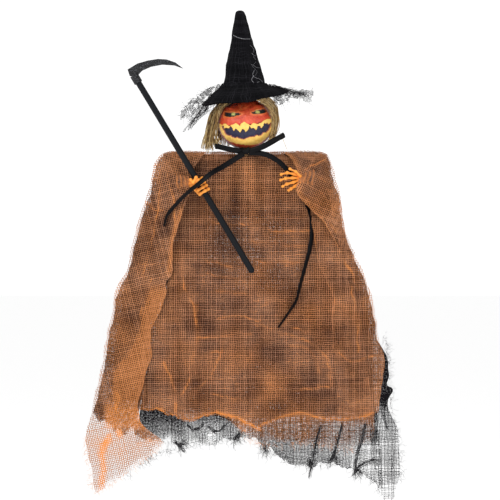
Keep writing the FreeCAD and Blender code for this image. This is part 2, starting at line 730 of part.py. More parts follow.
def build_ribbon():
    node(solid("Box", "ribbon_knot", {
        "Length": "2 * knot_half_width", "Width": "knot_depth", "Height": "knot_height",
        **at("-knot_half_width", "ribbon_y - knot_depth / 2", "knot_z")}), "ribbon_knot")
    outer = Part.Ellipse(FreeCAD.Vector(), size("neck_ring_half_depth"), size("neck_ring_half_width"))
    gap = size("neck_ring_thickness")
    inner = Part.Ellipse(
        FreeCAD.Vector(), size("neck_ring_half_depth") - gap, size("neck_ring_half_width") - gap)
    face = Part.Face(Part.Wire(outer.toShape())).cut(Part.Face(Part.Wire(inner.toShape())))
    ring = doc.addObject("Part::Feature", "ribbon_neck_ring")
    ring.Shape = face.extrude(FreeCAD.Vector(0, 0, size("neck_ring_height")))
    ring.Placement = FreeCAD.Placement(
        FreeCAD.Vector(0, size("neck_ring_centre_y"), size("neck_ring_bottom")),
        FreeCAD.Rotation(FreeCAD.Vector(0, 0, 1), 90))
    node(ring, "ribbon_neck_ring")
    left_loop = [(-6.4, 16), (-24, 27), (-44, 32), (-58, 24), (-52, 14), (-30, 10), (-6.4, 9)]
    right_loop = [(6.4, 16), (30, 22), (52, 34), (70, 44), (76, 36), (58, 22), (34, 12), (6.4, 9)]
    node(slab("bow_loop_left", left_loop, "loop_depth", "ribbon_y + loop_setback"), "bow_loop_left")
    node(slab("bow_loop_right", right_loop, "loop_depth", "ribbon_y + loop_setback"), "bow_loop_right")
    ribbon_strip("ribbon_tail_left", [(-7, 2), (-30, -12), (-56, -28)], "ribbon_y - tail_left_forward")
    ribbon_strip(
        "ribbon_tail_left_end", [(-117, -68), (-124, -96), (-126, -122)],
        "sleeve_y - tail_end_forward")
    ribbon_strip("ribbon_tail_right", [(7, 2), (34, -9), (56, -18)], "ribbon_y + tail_right_setback")
    ribbon_strip(
        "ribbon_tail_right_end",
        [(122, -112), (124, -143), (117, -182), (104, -228), (87, -275), (64, -316)],
        "front_y - 2 * cloth_thickness - 3 * layer_gap")


build_neck()
build_pivots()
build_arms()
build_left_hand()
build_right_hand()
build_scythe()
build_head()
build_hat()
build_hair()
build_robe()
for each_side, side_word in MIRRORED:
    shoulder_wrap(each_side, side_word)
build_sleeves()
build_ribbon()
doc.recompute()

for made in doc.Objects:
    if "Invalid" in made.State or "Error" in made.State:
        raise RuntimeError(f"{made.Label} failed: {made.State}")
for made in nodes:
    if made.Shape.isNull() or not made.Shape.isValid() or not made.Shape.Solids:
        raise RuntimeError(f"{made.Label} has no valid solid")

os.makedirs("parts", exist_ok=True)
for made in nodes:
    made.Shape.exportStep(f"parts/{made.Label}.step")
print(len(nodes), "sub-parts written")
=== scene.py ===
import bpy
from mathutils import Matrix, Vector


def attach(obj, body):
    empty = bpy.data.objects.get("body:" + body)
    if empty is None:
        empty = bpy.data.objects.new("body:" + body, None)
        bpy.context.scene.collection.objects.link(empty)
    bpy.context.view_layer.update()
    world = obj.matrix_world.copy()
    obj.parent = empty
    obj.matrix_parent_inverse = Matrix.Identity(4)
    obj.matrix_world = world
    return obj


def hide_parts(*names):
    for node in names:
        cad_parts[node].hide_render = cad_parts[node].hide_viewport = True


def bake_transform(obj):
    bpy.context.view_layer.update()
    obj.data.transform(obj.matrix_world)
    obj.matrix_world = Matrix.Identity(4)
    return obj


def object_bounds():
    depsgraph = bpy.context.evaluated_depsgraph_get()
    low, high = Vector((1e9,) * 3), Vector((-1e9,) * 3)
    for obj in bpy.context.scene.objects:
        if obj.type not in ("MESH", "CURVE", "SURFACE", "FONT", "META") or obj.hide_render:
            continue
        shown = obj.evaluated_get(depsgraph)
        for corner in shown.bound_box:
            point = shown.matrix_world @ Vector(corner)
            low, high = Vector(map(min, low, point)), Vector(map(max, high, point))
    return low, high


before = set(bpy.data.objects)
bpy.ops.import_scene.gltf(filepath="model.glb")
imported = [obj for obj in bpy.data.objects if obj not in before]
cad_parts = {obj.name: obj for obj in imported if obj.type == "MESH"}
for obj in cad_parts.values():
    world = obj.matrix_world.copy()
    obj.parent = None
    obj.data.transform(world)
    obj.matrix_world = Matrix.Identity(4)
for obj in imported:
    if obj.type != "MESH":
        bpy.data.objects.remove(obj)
cad_box = [list(map(float, corner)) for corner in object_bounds()]

import math
import random

import bmesh
import bpy
import numpy as np
from mathutils import Matrix, Vector

# A hanging scarecrow figure, dressed around its CAD frame. The front is -Y. Lengths are in
# millimetres, in the CAD frame, and become metres where a mesh is made.

MM = 0.001
FULL_WIDTH = 928.0
VIEW_CENTRE = (9.0, -30.0, -172.5)
VIEW_DISTANCE = 4000.0
SENSOR_WIDTH = 36.0
VIEW_LIMIT = 50.0
WORLD_LIGHT = 0.62
WORLD_SEEN = 1.1
FLOOR_REACH = 30.0
FLOOR_GAP = 0.25
WEAVE_PITCH = 3.3
ORANGE_PITCH = 3.4
BLACK_PITCH = 2.6
TORN_PITCH = 2.2
RIB_PITCH = 0.6

FRONT_LIFT = 31.0
FRONT_LINING_LIFT = 24.5
BACK_LIFT = -9.0
BACK_LINING_LIFT = -4.5
SHOULDER_START = 19
SHOULDER_WIDTH = 134
THREAD_DEPTH = -30.0
THREADS_LEFT = -303
THREADS_RIGHT = 300
THREADS_LOW = -646

RIBBON_WIDTH = 10.0
RIBBON_THICKNESS = 0.5
RIBBON_LIFT = 36.0
LOOP_SAG = 1.2
TAIL_SAG = 0.6

HEAD_X, HEAD_Y, HEAD_Z = 1.0, -12.0, 62.5
HEAD_WIDTH = 52.0
HEAD_HEIGHT = 47.5
HAT_X, HAT_Y = 1.0, -12.0
BRIM_HOLE = 34.0
BRIM_RADIUS = 80.0
BRIM_THICKNESS = 2.6
CROWN_X, CROWN_Z = 0.5, 84.0
CROWN_LEAN = -0.053
# the crown as (radius, height above CROWN_Z)
CROWN_PROFILE = [(47, 40), (43.5, 46), (39.5, 52), (38, 56), (33.5, 77), (28.5, 99), (23.5, 120),
                 (19.0, 135), (18.4, 139), (17.8, 143), (15.0, 155), (12.0, 168), (9.6, 180),
                 (7.6, 186.5), (4.0, 189.6), (0.3, 190)]
LACE_DEPTH = -24.0
LACE_REACH = 128.0

HAND_DEPTH = -70.0
HAND_VOXEL = 0.55
SCYTHE_AXIS = (0.5158, 0, -0.8567)
SCYTHE_ASIDE = (0.8567, 0, 0.5158)
SCYTHE_TOP = (-202, -70, 145)
GRIP_BELOW_TOP = 234.0
FINGER_PITCH = 7.6


# ------------------------------------------------------------------ camera, lights and floor


def linear(red, green, blue):
    """A display colour, 0 to 255, as linear light."""
    def channel(value):
        part = value / 255.0
        return part / 12.92 if part <= 0.04045 else ((part + 0.055) / 1.055) ** 2.4
    return (channel(red), channel(green), channel(blue), 1.0)


def build_camera():
    data = bpy.data.cameras.new("camera")
    camera = bpy.data.objects.new("camera", data)
    bpy.context.scene.collection.objects.link(camera)
    data.sensor_width = SENSOR_WIDTH
    data.lens = SENSOR_WIDTH * VIEW_DISTANCE / FULL_WIDTH
    data.clip_end = VIEW_LIMIT
    x, y, z = VIEW_CENTRE
    camera.location = Vector((x, y - VIEW_DISTANCE, z)) * MM
    camera.rotation_euler = (math.radians(90), 0, 0)
    bpy.context.scene.camera = camera


def area_light(name, place, aim, width, power):
    data = bpy.data.lights.new(name, "AREA")
    data.shape = "SQUARE"
    data.size = width
    data.energy = power
    light = bpy.data.objects.new(name, data)
    bpy.context.scene.collection.objects.link(light)
    light.location = place
    light.rotation_euler = (Vector(aim) - Vector(place)).to_track_quat("-Z", "Y").to_euler()


def build_studio():
    scene = bpy.context.scene
    scene.view_settings.view_transform = "Standard"
    scene.cycles.transparent_max_bounces = 24
    world = bpy.data.worlds.new("studio")
    scene.world = world
    world.use_nodes = True
    tree = world.node_tree
    background = tree.nodes["Background"]
    background.inputs["Color"].default_value = (1, 1, 1, 1)
    seen = tree.nodes.new("ShaderNodeLightPath")
    strength = tree.nodes.new("ShaderNodeMapRange")
    strength.inputs["To Min"].default_value = WORLD_LIGHT
    strength.inputs["To Max"].default_value = WORLD_SEEN
    tree.links.new(seen.outputs["Is Camera Ray"], strength.inputs["Value"])
    tree.links.new(strength.outputs["Result"], background.inputs["Strength"])
    area_light("key", place=(-1.5, -2.6, 1.7), aim=(0, 0, -0.2), width=1.6, power=62)
    area_light("fill", place=(2.2, -2.2, 0.4), aim=(0, 0, -0.25), width=2.0, power=22)


def build_floor():
    material = bpy.data.materials.new("floor")
    material.use_nodes = True
    shader = material.node_tree.nodes["Principled BSDF"]
    shader.inputs["Base Color"].default_value = (0.93, 0.93, 0.93, 1)
    shader.inputs["Roughness"].default_value = 0.9
    shader.inputs["Emission Color"].default_value = (1, 1, 1, 1)
    shader.inputs["Emission Strength"].default_value = 0.4
    mesh = bpy.data.meshes.new("floor")
    low = cad_box[0][2] - FLOOR_GAP
    corners = [(x * FLOOR_REACH, y * FLOOR_REACH, low) for x, y in ((-1, -1), (1, -1), (1, 1), (-1, 1))]
    mesh.from_pydata(corners, [], [(0, 1, 2, 3)])
    mesh.materials.append(material)
    floor = bpy.data.objects.new("floor", mesh)
    bpy.context.scene.collection.objects.link(floor)


# ------------------------------------------------------------------ lines, noise and meshes


def curve_through(points, count):
    """Evenly spaced samples of a smooth line through the points."""
    given = np.array(points, float)
    padded = np.vstack([2 * given[0] - given[1], given, 2 * given[-1] - given[-2]])
    fine = []
    for i in range(len(given) - 1):
        before, start, end, after = padded[i:i + 4]
        for t in np.linspace(0, 1, 16, endpoint=False):
            fine.append(0.5 * (2 * start + (end - before) * t
                               + (2 * before - 5 * start + 4 * end - after) * t ** 2
                               + (3 * start - before - 3 * end + after) * t ** 3))
    fine.append(given[-1])
    fine = np.array(fine)
    run = np.r_[0, np.cumsum(np.linalg.norm(np.diff(fine, axis=0), axis=1))]
    stations = np.linspace(0, run[-1], count)
    return np.stack([np.interp(stations, run, fine[:, k]) for k in range(fine.shape[1])], axis=1)


def wobble(x, y, seed):
    """Smooth noise from -1 to 1, with one lump for each unit of x and y."""
    lattice = np.random.default_rng(seed).uniform(-1, 1, (64, 64))
    left, low = np.floor(x).astype(int), np.floor(y).astype(int)
    fx, fy = x - left, y - low
    fx, fy = fx * fx * (3 - 2 * fx), fy * fy * (3 - 2 * fy)
    near, far = left % 64, (left + 1) % 64
    bottom, top = low % 64, (low + 1) % 64
    lower = lattice[near, bottom] * (1 - fx) + lattice[far, bottom] * fx
    upper = lattice[near, top] * (1 - fx) + lattice[far, top] * fx
    return lower * (1 - fy) + upper * fy


def ramp(value, start, length):
    """0 up to start, then rising to 1 over the length."""
    return np.clip((value - start) / length, 0, 1)


def round_grid(rows, cols):
    """The share of the way along, one for each row, and the turn, one for each column."""
    share = np.linspace(0, 1, rows)[:, None]
    turn = 2 * math.pi * np.arange(cols)[None, :] / cols
    return share, turn


def grid_points(*parts):
    """Coordinates that each vary along rows, columns or both, joined in one grid of points."""
    return np.stack(np.broadcast_arrays(*parts), axis=-1)


def near_line(x, z, points, width):
    """1 on a line through (x, z) points, falling to 0 away from it."""
    line = curve_through(points, 12 * len(points))
    best = np.full(x.shape, 1e9)
    for start, end in zip(line[:-1], line[1:]):
        run = end - start
        share = ((x - start[0]) * run[0] + (z - start[1]) * run[1]) / max(run @ run, 1e-9)
        share = np.clip(share, 0, 1)
        gap = np.hypot(x - start[0] - share * run[0], z - start[1] - share * run[1])
        best = np.minimum(best, gap)
    return np.exp(-(best / width) ** 2)


def inside(x, z, outline):
    """Signed distance to a closed outline: positive inside."""
    points = np.array(outline, float)
    best = np.full(x.shape, 1e9)
    within = np.zeros(x.shape, bool)
    for (x0, z0), (x1, z1) in zip(points, np.roll(points, -1, axis=0)):
        dx, dz = x1 - x0, z1 - z0
        share = np.clip(((x - x0) * dx + (z - z0) * dz) / max(dx * dx + dz * dz, 1e-9), 0, 1)
        best = np.minimum(best, np.hypot(x - x0 - share * dx, z - z0 - share * dz))
        crosses = (z0 > z) != (z1 > z)
        cut = x0 + (z - z0) * dx / (dz if abs(dz) > 1e-9 else 1e-9)
        within ^= crosses & (x < cut)
    return np.where(within, best, -best)


def add_object(name, mesh, material, body=None):
    made = bpy.data.objects.new(name, mesh)
    bpy.context.scene.collection.objects.link(made)
    mesh.materials.append(material)
    if body:
        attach(made, body)
    return made


def float_attribute(mesh, name, values):
    layer = mesh.attributes.new(name, "FLOAT", "POINT")
    layer.data.foreach_set("value", np.asarray(values, np.float32).ravel())


def cloth_attributes(mesh, shape, fold, fray):
    """What the gauze reads at each point: how bright a fold is, and how worn the cloth is."""
    float_attribute(mesh, "fold", np.broadcast_to(np.clip(fold, 0, 1), shape))
    float_attribute(mesh, "fray", np.broadcast_to(np.clip(fray, 0, 1), shape))


def grid_mesh(name, points, uv=None, wrap=False):
    """A mesh from rows of points; wrap closes each row into a ring."""
    rows, cols = points.shape[:2]
    number = np.arange(rows * cols).reshape(rows, cols)
    across = np.roll(number, -1, axis=1) if wrap else number[:, 1:]
    base = number if wrap else number[:, :-1]
    faces = np.stack([base[:-1], across[:-1], across[1:], base[1:]], axis=-1).reshape(-1, 4)
    mesh = bpy.data.meshes.new(name)
    mesh.from_pydata((points.reshape(-1, 3) * MM).tolist(), [], faces.tolist())
    mesh.polygons.foreach_set("use_smooth", np.ones(len(faces), bool))
    if uv is not None:
        layer = mesh.uv_layers.new(name="cloth")
        loops = np.zeros(len(mesh.loops), np.int32)
        mesh.loops.foreach_get("vertex_index", loops)
        layer.data.foreach_set("uv", (uv.reshape(-1, 2) * MM)[loops].astype(np.float32).ravel())
    mesh.update()
    return mesh


def cloth_lengths(points):
    """Each grid point's place on the flat cloth: along its row from the middle, and down."""
    across = np.linalg.norm(np.diff(points, axis=1), axis=2)
    run = np.concatenate([np.zeros((len(points), 1)), np.cumsum(across, axis=1)], axis=1)
    run -= run[:, -1:] / 2
    down = np.linalg.norm(np.diff(points, axis=0), axis=2).mean(axis=1)
    fall = np.r_[0, np.cumsum(down)]
    return np.stack([run, np.repeat(fall[:, None], points.shape[1], axis=1)], axis=-1)


def tubes(name, paths, radii, material, sides=3, taper=0.5, shades=None):
    """Many round strands joined in one mesh, each along its own points."""
    corners, faces, tones = [], [], []
    turn = 2 * math.pi * np.arange(sides) / sides
    for number, (path, radius) in enumerate(zip(paths, radii)):
        path = np.asarray(path, float)
        run = np.gradient(path, axis=0)
        run /= np.maximum(np.linalg.norm(run, axis=1), 1e-9)[:, None]
        guide = np.array((0.31, 0.88, 0.36))
        side = np.cross(run, guide)
        side /= np.maximum(np.linalg.norm(side, axis=1), 1e-9)[:, None]
        other = np.cross(run, side)
        width = radius * np.linspace(1, taper, len(path))[:, None, None]
        ring = (side[:, None] * np.cos(turn)[None, :, None]
                + other[:, None] * np.sin(turn)[None, :, None])
        start = len(corners) * sides
        for loop in path[:, None] + ring * width:
            corners.append(loop)
        index = start + np.arange(len(path) * sides).reshape(-1, sides)
        follow = np.roll(index, -1, axis=1)
        faces.append(np.stack([index[:-1], follow[:-1], follow[1:], index[1:]], -1).reshape(-1, 4))
        tone = shades[number] if shades is not None else 0.5
        tones.append(np.full(len(path) * sides, tone))
    mesh = bpy.data.meshes.new(name)
    mesh.from_pydata((np.concatenate(corners) * MM).tolist(), [], np.concatenate(faces).tolist())
    mesh.polygons.foreach_set("use_smooth", np.ones(len(mesh.polygons), bool))
    float_attribute(mesh, "shade", np.concatenate(tones))
    return add_object(name, mesh, material)


def ribbon_strip(name, points, facing, sag, samples=60):
    """A flat ribbon along a line of (x, y, z) points; facing gives its normal along the way."""
    line = curve_through(points, samples)
    run = np.gradient(line, axis=0)
    run /= np.linalg.norm(run, axis=1)[:, None]
    normal = curve_through(facing, samples)
    across = np.cross(run, normal)
    across /= np.linalg.norm(across, axis=1)[:, None]
    out = np.cross(across, run)
    place = np.linspace(-0.5, 0.5, 7)
    bow = sag * (1 - (2 * place) ** 2)
    points = (line[:, None] + across[:, None] * (place * RIBBON_WIDTH)[None, :, None]
              + out[:, None] * bow[None, :, None])
    mesh = grid_mesh(name, points, cloth_lengths(points))
    made = add_object(name, mesh, ribbon_satin)
    solidify(made, RIBBON_THICKNESS)
    return made


def solidify(piece, thickness):
    """Give a sheet its real thickness, in the mesh itself."""
    modifier = piece.modifiers.new("thickness", "SOLIDIFY")
    modifier.thickness = thickness * MM
    modifier.offset = 0
    settle(piece)


def settle(piece):
    """Apply every modifier of a piece to its mesh."""
    bpy.context.view_layer.update()
    graph = bpy.context.evaluated_depsgraph_get()
    mesh = bpy.data.meshes.new_from_object(piece.evaluated_get(graph))
    old = piece.data
    piece.modifiers.clear()
    piece.data = mesh
    bpy.data.meshes.remove(old)


# ------------------------------------------------------------------ materials


def add_node(tree, kind, inputs=None, **settings):
    """A shader node; an input that is a socket is linked, and any other is set."""
    made = tree.nodes.new("ShaderNode" + kind)
    for key, value in settings.items():
        setattr(made, key, value)
    for key, value in (inputs or {}).items():
        if isinstance(value, bpy.types.NodeSocket):
            tree.links.new(value, made.inputs[key])
        else:
            made.inputs[key].default_value = value
    return made


def maths(tree, operation, first, second=0.0, third=0.0):
    made = add_node(tree, "Math", {0: first, 1: second, 2: third}, operation=operation)
    return made.outputs[0]


def blend_colour(tree, share, first, second):
    made = tree.nodes.new("ShaderNodeMix")
    made.data_type = "RGBA"
    for socket, value in ((made.inputs[0], share), (made.inputs[6], first), (made.inputs[7], second)):
        if isinstance(value, bpy.types.NodeSocket):
            tree.links.new(value, socket)
        else:
            socket.default_value = value
    return made.outputs[2]


def attribute(tree, name):
    return add_node(tree, "Attribute", attribute_name=name).outputs["Fac"]


def on_cloth(tree):
    """The place on the flat cloth."""
    return add_node(tree, "UVMap", uv_map="cloth").outputs["UV"]


def on_object(tree):
    """The place in the object's own space."""
    return add_node(tree, "TexCoord").outputs["Object"]


def rescale(tree, value, low, high):
    """The value's way from low to high, as 0 to 1."""
    return add_node(tree, "MapRange", {"Value": value, "From Min": low, "From Max": high}).outputs[0]


def surface(name, roughness):
    """A new material; returns it with its node tree and its shader."""
    made = bpy.data.materials.new(name)
    made.use_nodes = True
    shader = made.node_tree.nodes["Principled BSDF"]
    shader.inputs["Roughness"].default_value = roughness
    return made, made.node_tree, shader


def noise(tree, where, scale, detail=3.0, rough=0.55, output="Fac"):
    settings = {"Vector": where, "Scale": scale, "Detail": detail, "Roughness": rough}
    return add_node(tree, "TexNoise", settings).outputs[output]


def bump(tree, shader, height, strength, distance):
    made = add_node(tree, "Bump", {
        "Height": height, "Strength": strength, "Distance": distance * MM})
    tree.links.new(made.outputs["Normal"], shader.inputs["Normal"])


def thread_set(tree, position, pitch, width, missing, salt):
    """One direction of threads: its mask, a value for each thread, and the roundness."""
    count = maths(tree, "DIVIDE", position, pitch * MM)
    number = maths(tree, "FLOOR", count)
    offset = maths(tree, "ABSOLUTE", maths(tree, "SUBTRACT", maths(tree, "FRACT", count), 0.5))
    salted = maths(tree, "ADD", number, salt)
    dice = add_node(tree, "TexWhiteNoise", {"W": salted}, noise_dimensions="1D").outputs["Value"]
    half = maths(tree, "MULTIPLY", width, maths(tree, "MULTIPLY_ADD", dice, 0.22, 0.40))
    solid = maths(tree, "LESS_THAN", offset, half)
    present = maths(tree, "GREATER_THAN", dice, missing)
    roundness = maths(tree, "SUBTRACT", 1.0, maths(tree, "DIVIDE", offset, half))
    return maths(tree, "MULTIPLY", solid, present), dice, roundness


def pulled_threads(tree, uv, clouds, amount):
    """Thin bright lines where single threads are pulled tight, mostly across the cloth."""
    lines = []
    for stretch, scale in (((1.0, 7.0, 1.0), 26.0), ((6.0, 1.0, 1.0), 22.0)):
        moved = add_node(tree, "Mapping", {"Vector": uv, "Scale": stretch}).outputs[0]
        waves = noise(tree, moved, scale, 2.0, 0.5)
        ridge = maths(tree, "ABSOLUTE", maths(tree, "SUBTRACT", waves, 0.5))
        lines.append(rescale(tree, ridge, 0.022, 0.0))
    both = maths(tree, "MAXIMUM", lines[0], maths(tree, "MULTIPLY", lines[1], 0.5))
    chosen = rescale(tree, clouds, 0.46, 0.62)
    return maths(tree, "MULTIPLY", maths(tree, "MULTIPLY", both, chosen), amount)


def gauze(name, colours, cover, missing=0.0, pitch=WEAVE_PITCH, ragged=0.0, wander=0.5, pulled=0.0):
    """Open-weave cloth: two sets of wandering threads with air between them.

    colours: shadow, body and highlight. cover: the threads' share of the pitch.
    missing: the share of threads left out. ragged: how much is torn away. wander: how far a
    thread strays. pulled: how bright the pulled threads are.
    """
    made, tree, shader = surface(name, 0.92)
    uv = on_cloth(tree)
    drift = noise(tree, uv, 38.0, 3.0, output="Color")
    drift = add_node(tree, "SeparateColor", {"Color": drift})
    place = add_node(tree, "SeparateXYZ", {"Vector": uv})
    lumps = noise(tree, uv, 520.0, 2.0)
    clouds = noise(tree, uv, 14.0, 4.0, 0.6)
    fold = attribute(tree, "fold")
    fray = attribute(tree, "fray")
    if pulled:
        fold = maths(tree, "MAXIMUM", fold, pulled_threads(tree, uv, clouds, pulled))
    width = maths(tree, "MULTIPLY_ADD", lumps, 0.9, cover - 0.45)
    width = maths(tree, "ADD", width, maths(tree, "MULTIPLY", fold, 0.42))
    width = maths(tree, "ADD", width, maths(tree, "MULTIPLY_ADD", clouds, 0.4, -0.2))
    width = maths(tree, "SUBTRACT", width, maths(tree, "MULTIPLY", fray, 0.8))
    width = maths(tree, "MAXIMUM", width, 0.08)
    worn = maths(tree, "MAXIMUM", maths(tree, "SUBTRACT", fray, 0.5), 0.0)
    lost = maths(tree, "MULTIPLY_ADD", worn, 1.6, missing)
    masks, dices, rounds = [], [], []
    sway = 3 * wander * pitch * MM
    for axis, channel, salt in (("X", "Red", 3.0), ("Y", "Green", 71.0)):
        shift = maths(tree, "MULTIPLY_ADD", drift.outputs[channel], sway, -sway / 2)
        position = maths(tree, "ADD", place.outputs[axis], shift)
        mask, dice, roundness = thread_set(tree, position, pitch, width, lost, salt)
        masks.append(mask)
        dices.append(dice)
        rounds.append(roundness)
    alpha = maths(tree, "MAXIMUM", masks[0], masks[1])
    if ragged:
        holes = noise(tree, uv, 85.0, 3.0, 0.65)
        alpha = maths(tree, "MULTIPLY", alpha, maths(tree, "GREATER_THAN", holes, ragged))
    tone = maths(tree, "MULTIPLY_ADD", maths(tree, "ADD", dices[0], dices[1]), 0.22,
                 maths(tree, "MULTIPLY_ADD", clouds, 1.1, -0.35))
    shadow, body, light = colours
    colour = blend_colour(tree, tone, shadow, body)
    stained = noise(tree, uv, 9.0, 4.0, 0.6)
    stained = rescale(tree, stained, 0.42, 0.72)
    bright_fold = maths(tree, "MULTIPLY", fold, 1.35)
    warmth = maths(tree, "MAXIMUM", bright_fold, maths(tree, "MULTIPLY", stained, 0.5))
    colour = blend_colour(tree, warmth, colour, light)
    tree.links.new(colour, shader.inputs["Base Color"])
    tree.links.new(alpha, shader.inputs["Alpha"])
    shader.inputs["Specular IOR Level"].default_value = 0.1
    bump(tree, shader, maths(tree, "MAXIMUM", rounds[0], rounds[1]), 0.5, 0.5)
    return made


def strand(name, colours, roughness):
    """Threads, straws and raffia: a shade for each strand, and streaks along it."""
    made, tree, shader = surface(name, roughness)
    place = on_object(tree)
    streaks = noise(tree, place, 160.0, 3.0)
    shade = attribute(tree, "shade")
    tone = maths(tree, "ADD", shade, maths(tree, "MULTIPLY_ADD", streaks, 0.9, -0.45))
    ramp = add_node(tree, "ValToRGB", {"Fac": tone})
    stops = ramp.color_ramp.elements
    stops[0].position, stops[1].position = 0.0, 1.0
    stops[0].color, stops[1].color = colours[0], colours[-1]
    for number, colour in enumerate(colours[1:-1], start=1):
        stops.new(number / (len(colours) - 1)).color = colour
    tree.links.new(ramp.outputs["Color"], shader.inputs["Base Color"])
    bump(tree, shader, streaks, 0.3, 0.3)
    return made


def moulded(name, dark, light, roughness, grain, depth, shine=0.5):
    """Moulded or painted material with mottling, small bumps, and colour that is lighter on convex spots
    and darker in hollows.
    """
    made, tree, shader = surface(name, roughness)
    place = on_object(tree)
    mottle = noise(tree, place, grain, 4.0, 0.6)
    fine = noise(tree, place, grain * 9, 2.0)
    # from pointiness: lighter on convex spots, darker in hollows
    worn = add_node(tree, "NewGeometry").outputs["Pointiness"]
    worn = rescale(tree, worn, 0.47, 0.56)
    share = maths(tree, "MULTIPLY", mottle, 0.7)
    share = maths(tree, "ADD", share, maths(tree, "MULTIPLY", worn, 0.5))
    tree.links.new(blend_colour(tree, share, dark, light), shader.inputs["Base Color"])
    rough = maths(tree, "MULTIPLY_ADD", fine, 0.25, roughness - 0.12)
    tree.links.new(rough, shader.inputs["Roughness"])
    shader.inputs["Specular IOR Level"].default_value = shine
    bump(tree, shader, fine, 0.35, depth)
    return made


def felt(name, dark, light):
    """Dark gauze-covered felt: crossing fibres of uneven brightness on a matt ground."""
    made, tree, shader = surface(name, 0.95)
    uv = on_cloth(tree)
    drift = noise(tree, uv, 60.0, 2.0, output="Color")
    moved = add_node(tree, "VectorMath", {0: drift, 1: (0.010, 0.010, 0.0)}, operation="MULTIPLY")
    moved = add_node(tree, "VectorMath", {0: uv, 1: moved.outputs[0]}, operation="ADD").outputs[0]
    place = add_node(tree, "SeparateXYZ", {"Vector": moved})
    lumps = noise(tree, uv, 480.0, 2.0)
    masks = []
    for axis, salt in (("X", 5.0), ("Y", 91.0)):
        mask, dice, roundness = thread_set(tree, place.outputs[axis], BLACK_PITCH, lumps, 0.0, salt)
        masks.append(maths(tree, "MULTIPLY", mask, maths(tree, "MULTIPLY", dice, roundness)))
    fibres = maths(tree, "MAXIMUM", masks[0], masks[1])
    clouds = noise(tree, uv, 30.0, 3.0)
    tone = maths(tree, "MULTIPLY", fibres, maths(tree, "MULTIPLY_ADD", clouds, 1.6, -0.2))
    tree.links.new(blend_colour(tree, tone, dark, light), shader.inputs["Base Color"])
    shader.inputs["Specular IOR Level"].default_value = 0.08
    bump(tree, shader, maths(tree, "ADD", fibres, maths(tree, "MULTIPLY", lumps, 0.5)), 0.7, 0.8)
    return made


def satin(name):
    made, tree, shader = surface(name, 0.45)
    uv = on_cloth(tree)
    place = add_node(tree, "SeparateXYZ", {"Vector": uv})
    rib_rate = 2 * math.pi / (RIB_PITCH * MM)
    ribs = maths(tree, "SINE", maths(tree, "MULTIPLY", place.outputs["Y"], rib_rate))
    clouds = noise(tree, uv, 45.0, 3.0)
    colour = blend_colour(tree, clouds, linear(2, 2, 3), linear(8, 8, 11))
    tree.links.new(colour, shader.inputs["Base Color"])
    tree.links.new(maths(tree, "MULTIPLY_ADD", clouds, 0.3, 0.3), shader.inputs["Roughness"])
    shader.inputs["Specular IOR Level"].default_value = 0.12
    bump(tree, shader, ribs, 0.25, 0.1)
    return made


def wood():
    made, tree, shader = surface("wood", 0.6)
    place = on_object(tree)
    stretched = add_node(tree, "Mapping", {"Vector": place, "Scale": (1.0, 14.0, 14.0)}).outputs[0]
    grain = noise(tree, stretched, 30.0, 5.0, 0.65)
    colour = blend_colour(tree, grain, linear(150, 112, 70), linear(214, 178, 128))
    tree.links.new(colour, shader.inputs["Base Color"])
    bump(tree, shader, grain, 0.3, 0.3)
    return made


def steel():
    made, tree, shader = surface("steel", 0.35)
    place = on_object(tree)
    brushed = add_node(tree, "Mapping", {"Vector": place, "Scale": (1.0, 1.0, 30.0)}).outputs[0]
    lines = noise(tree, brushed, 90.0, 4.0)
    colour = blend_colour(tree, lines, linear(150, 150, 152), linear(205, 205, 208))
    tree.links.new(colour, shader.inputs["Base Color"])
    tree.links.new(maths(tree, "MULTIPLY_ADD", lines, 0.3, 0.2), shader.inputs["Roughness"])
    shader.inputs["Metallic"].default_value = 1.0
    return made


def glitter():
    """Black lacquer full of small bright flakes that lie at many angles."""
    made, tree, shader = surface("glitter", 0.35)
    place = on_object(tree)
    flakes = add_node(tree, "TexVoronoi", {"Vector": place, "Scale": 900.0}, feature="F1")
    dice = add_node(tree, "SeparateColor", {"Color": flakes.outputs["Color"]}).outputs["Red"]
    bright = maths(tree, "POWER", dice, 6.0)
    tree.links.new(blend_colour(tree, bright, linear(6, 6, 8), linear(86, 88, 94)),
                   shader.inputs["Base Color"])
    tree.links.new(maths(tree, "MULTIPLY_ADD", dice, 0.5, 0.2), shader.inputs["Roughness"])
    shader.inputs["Metallic"].default_value = 0.35
    bump(tree, shader, dice, 0.8, 0.3)
    return made


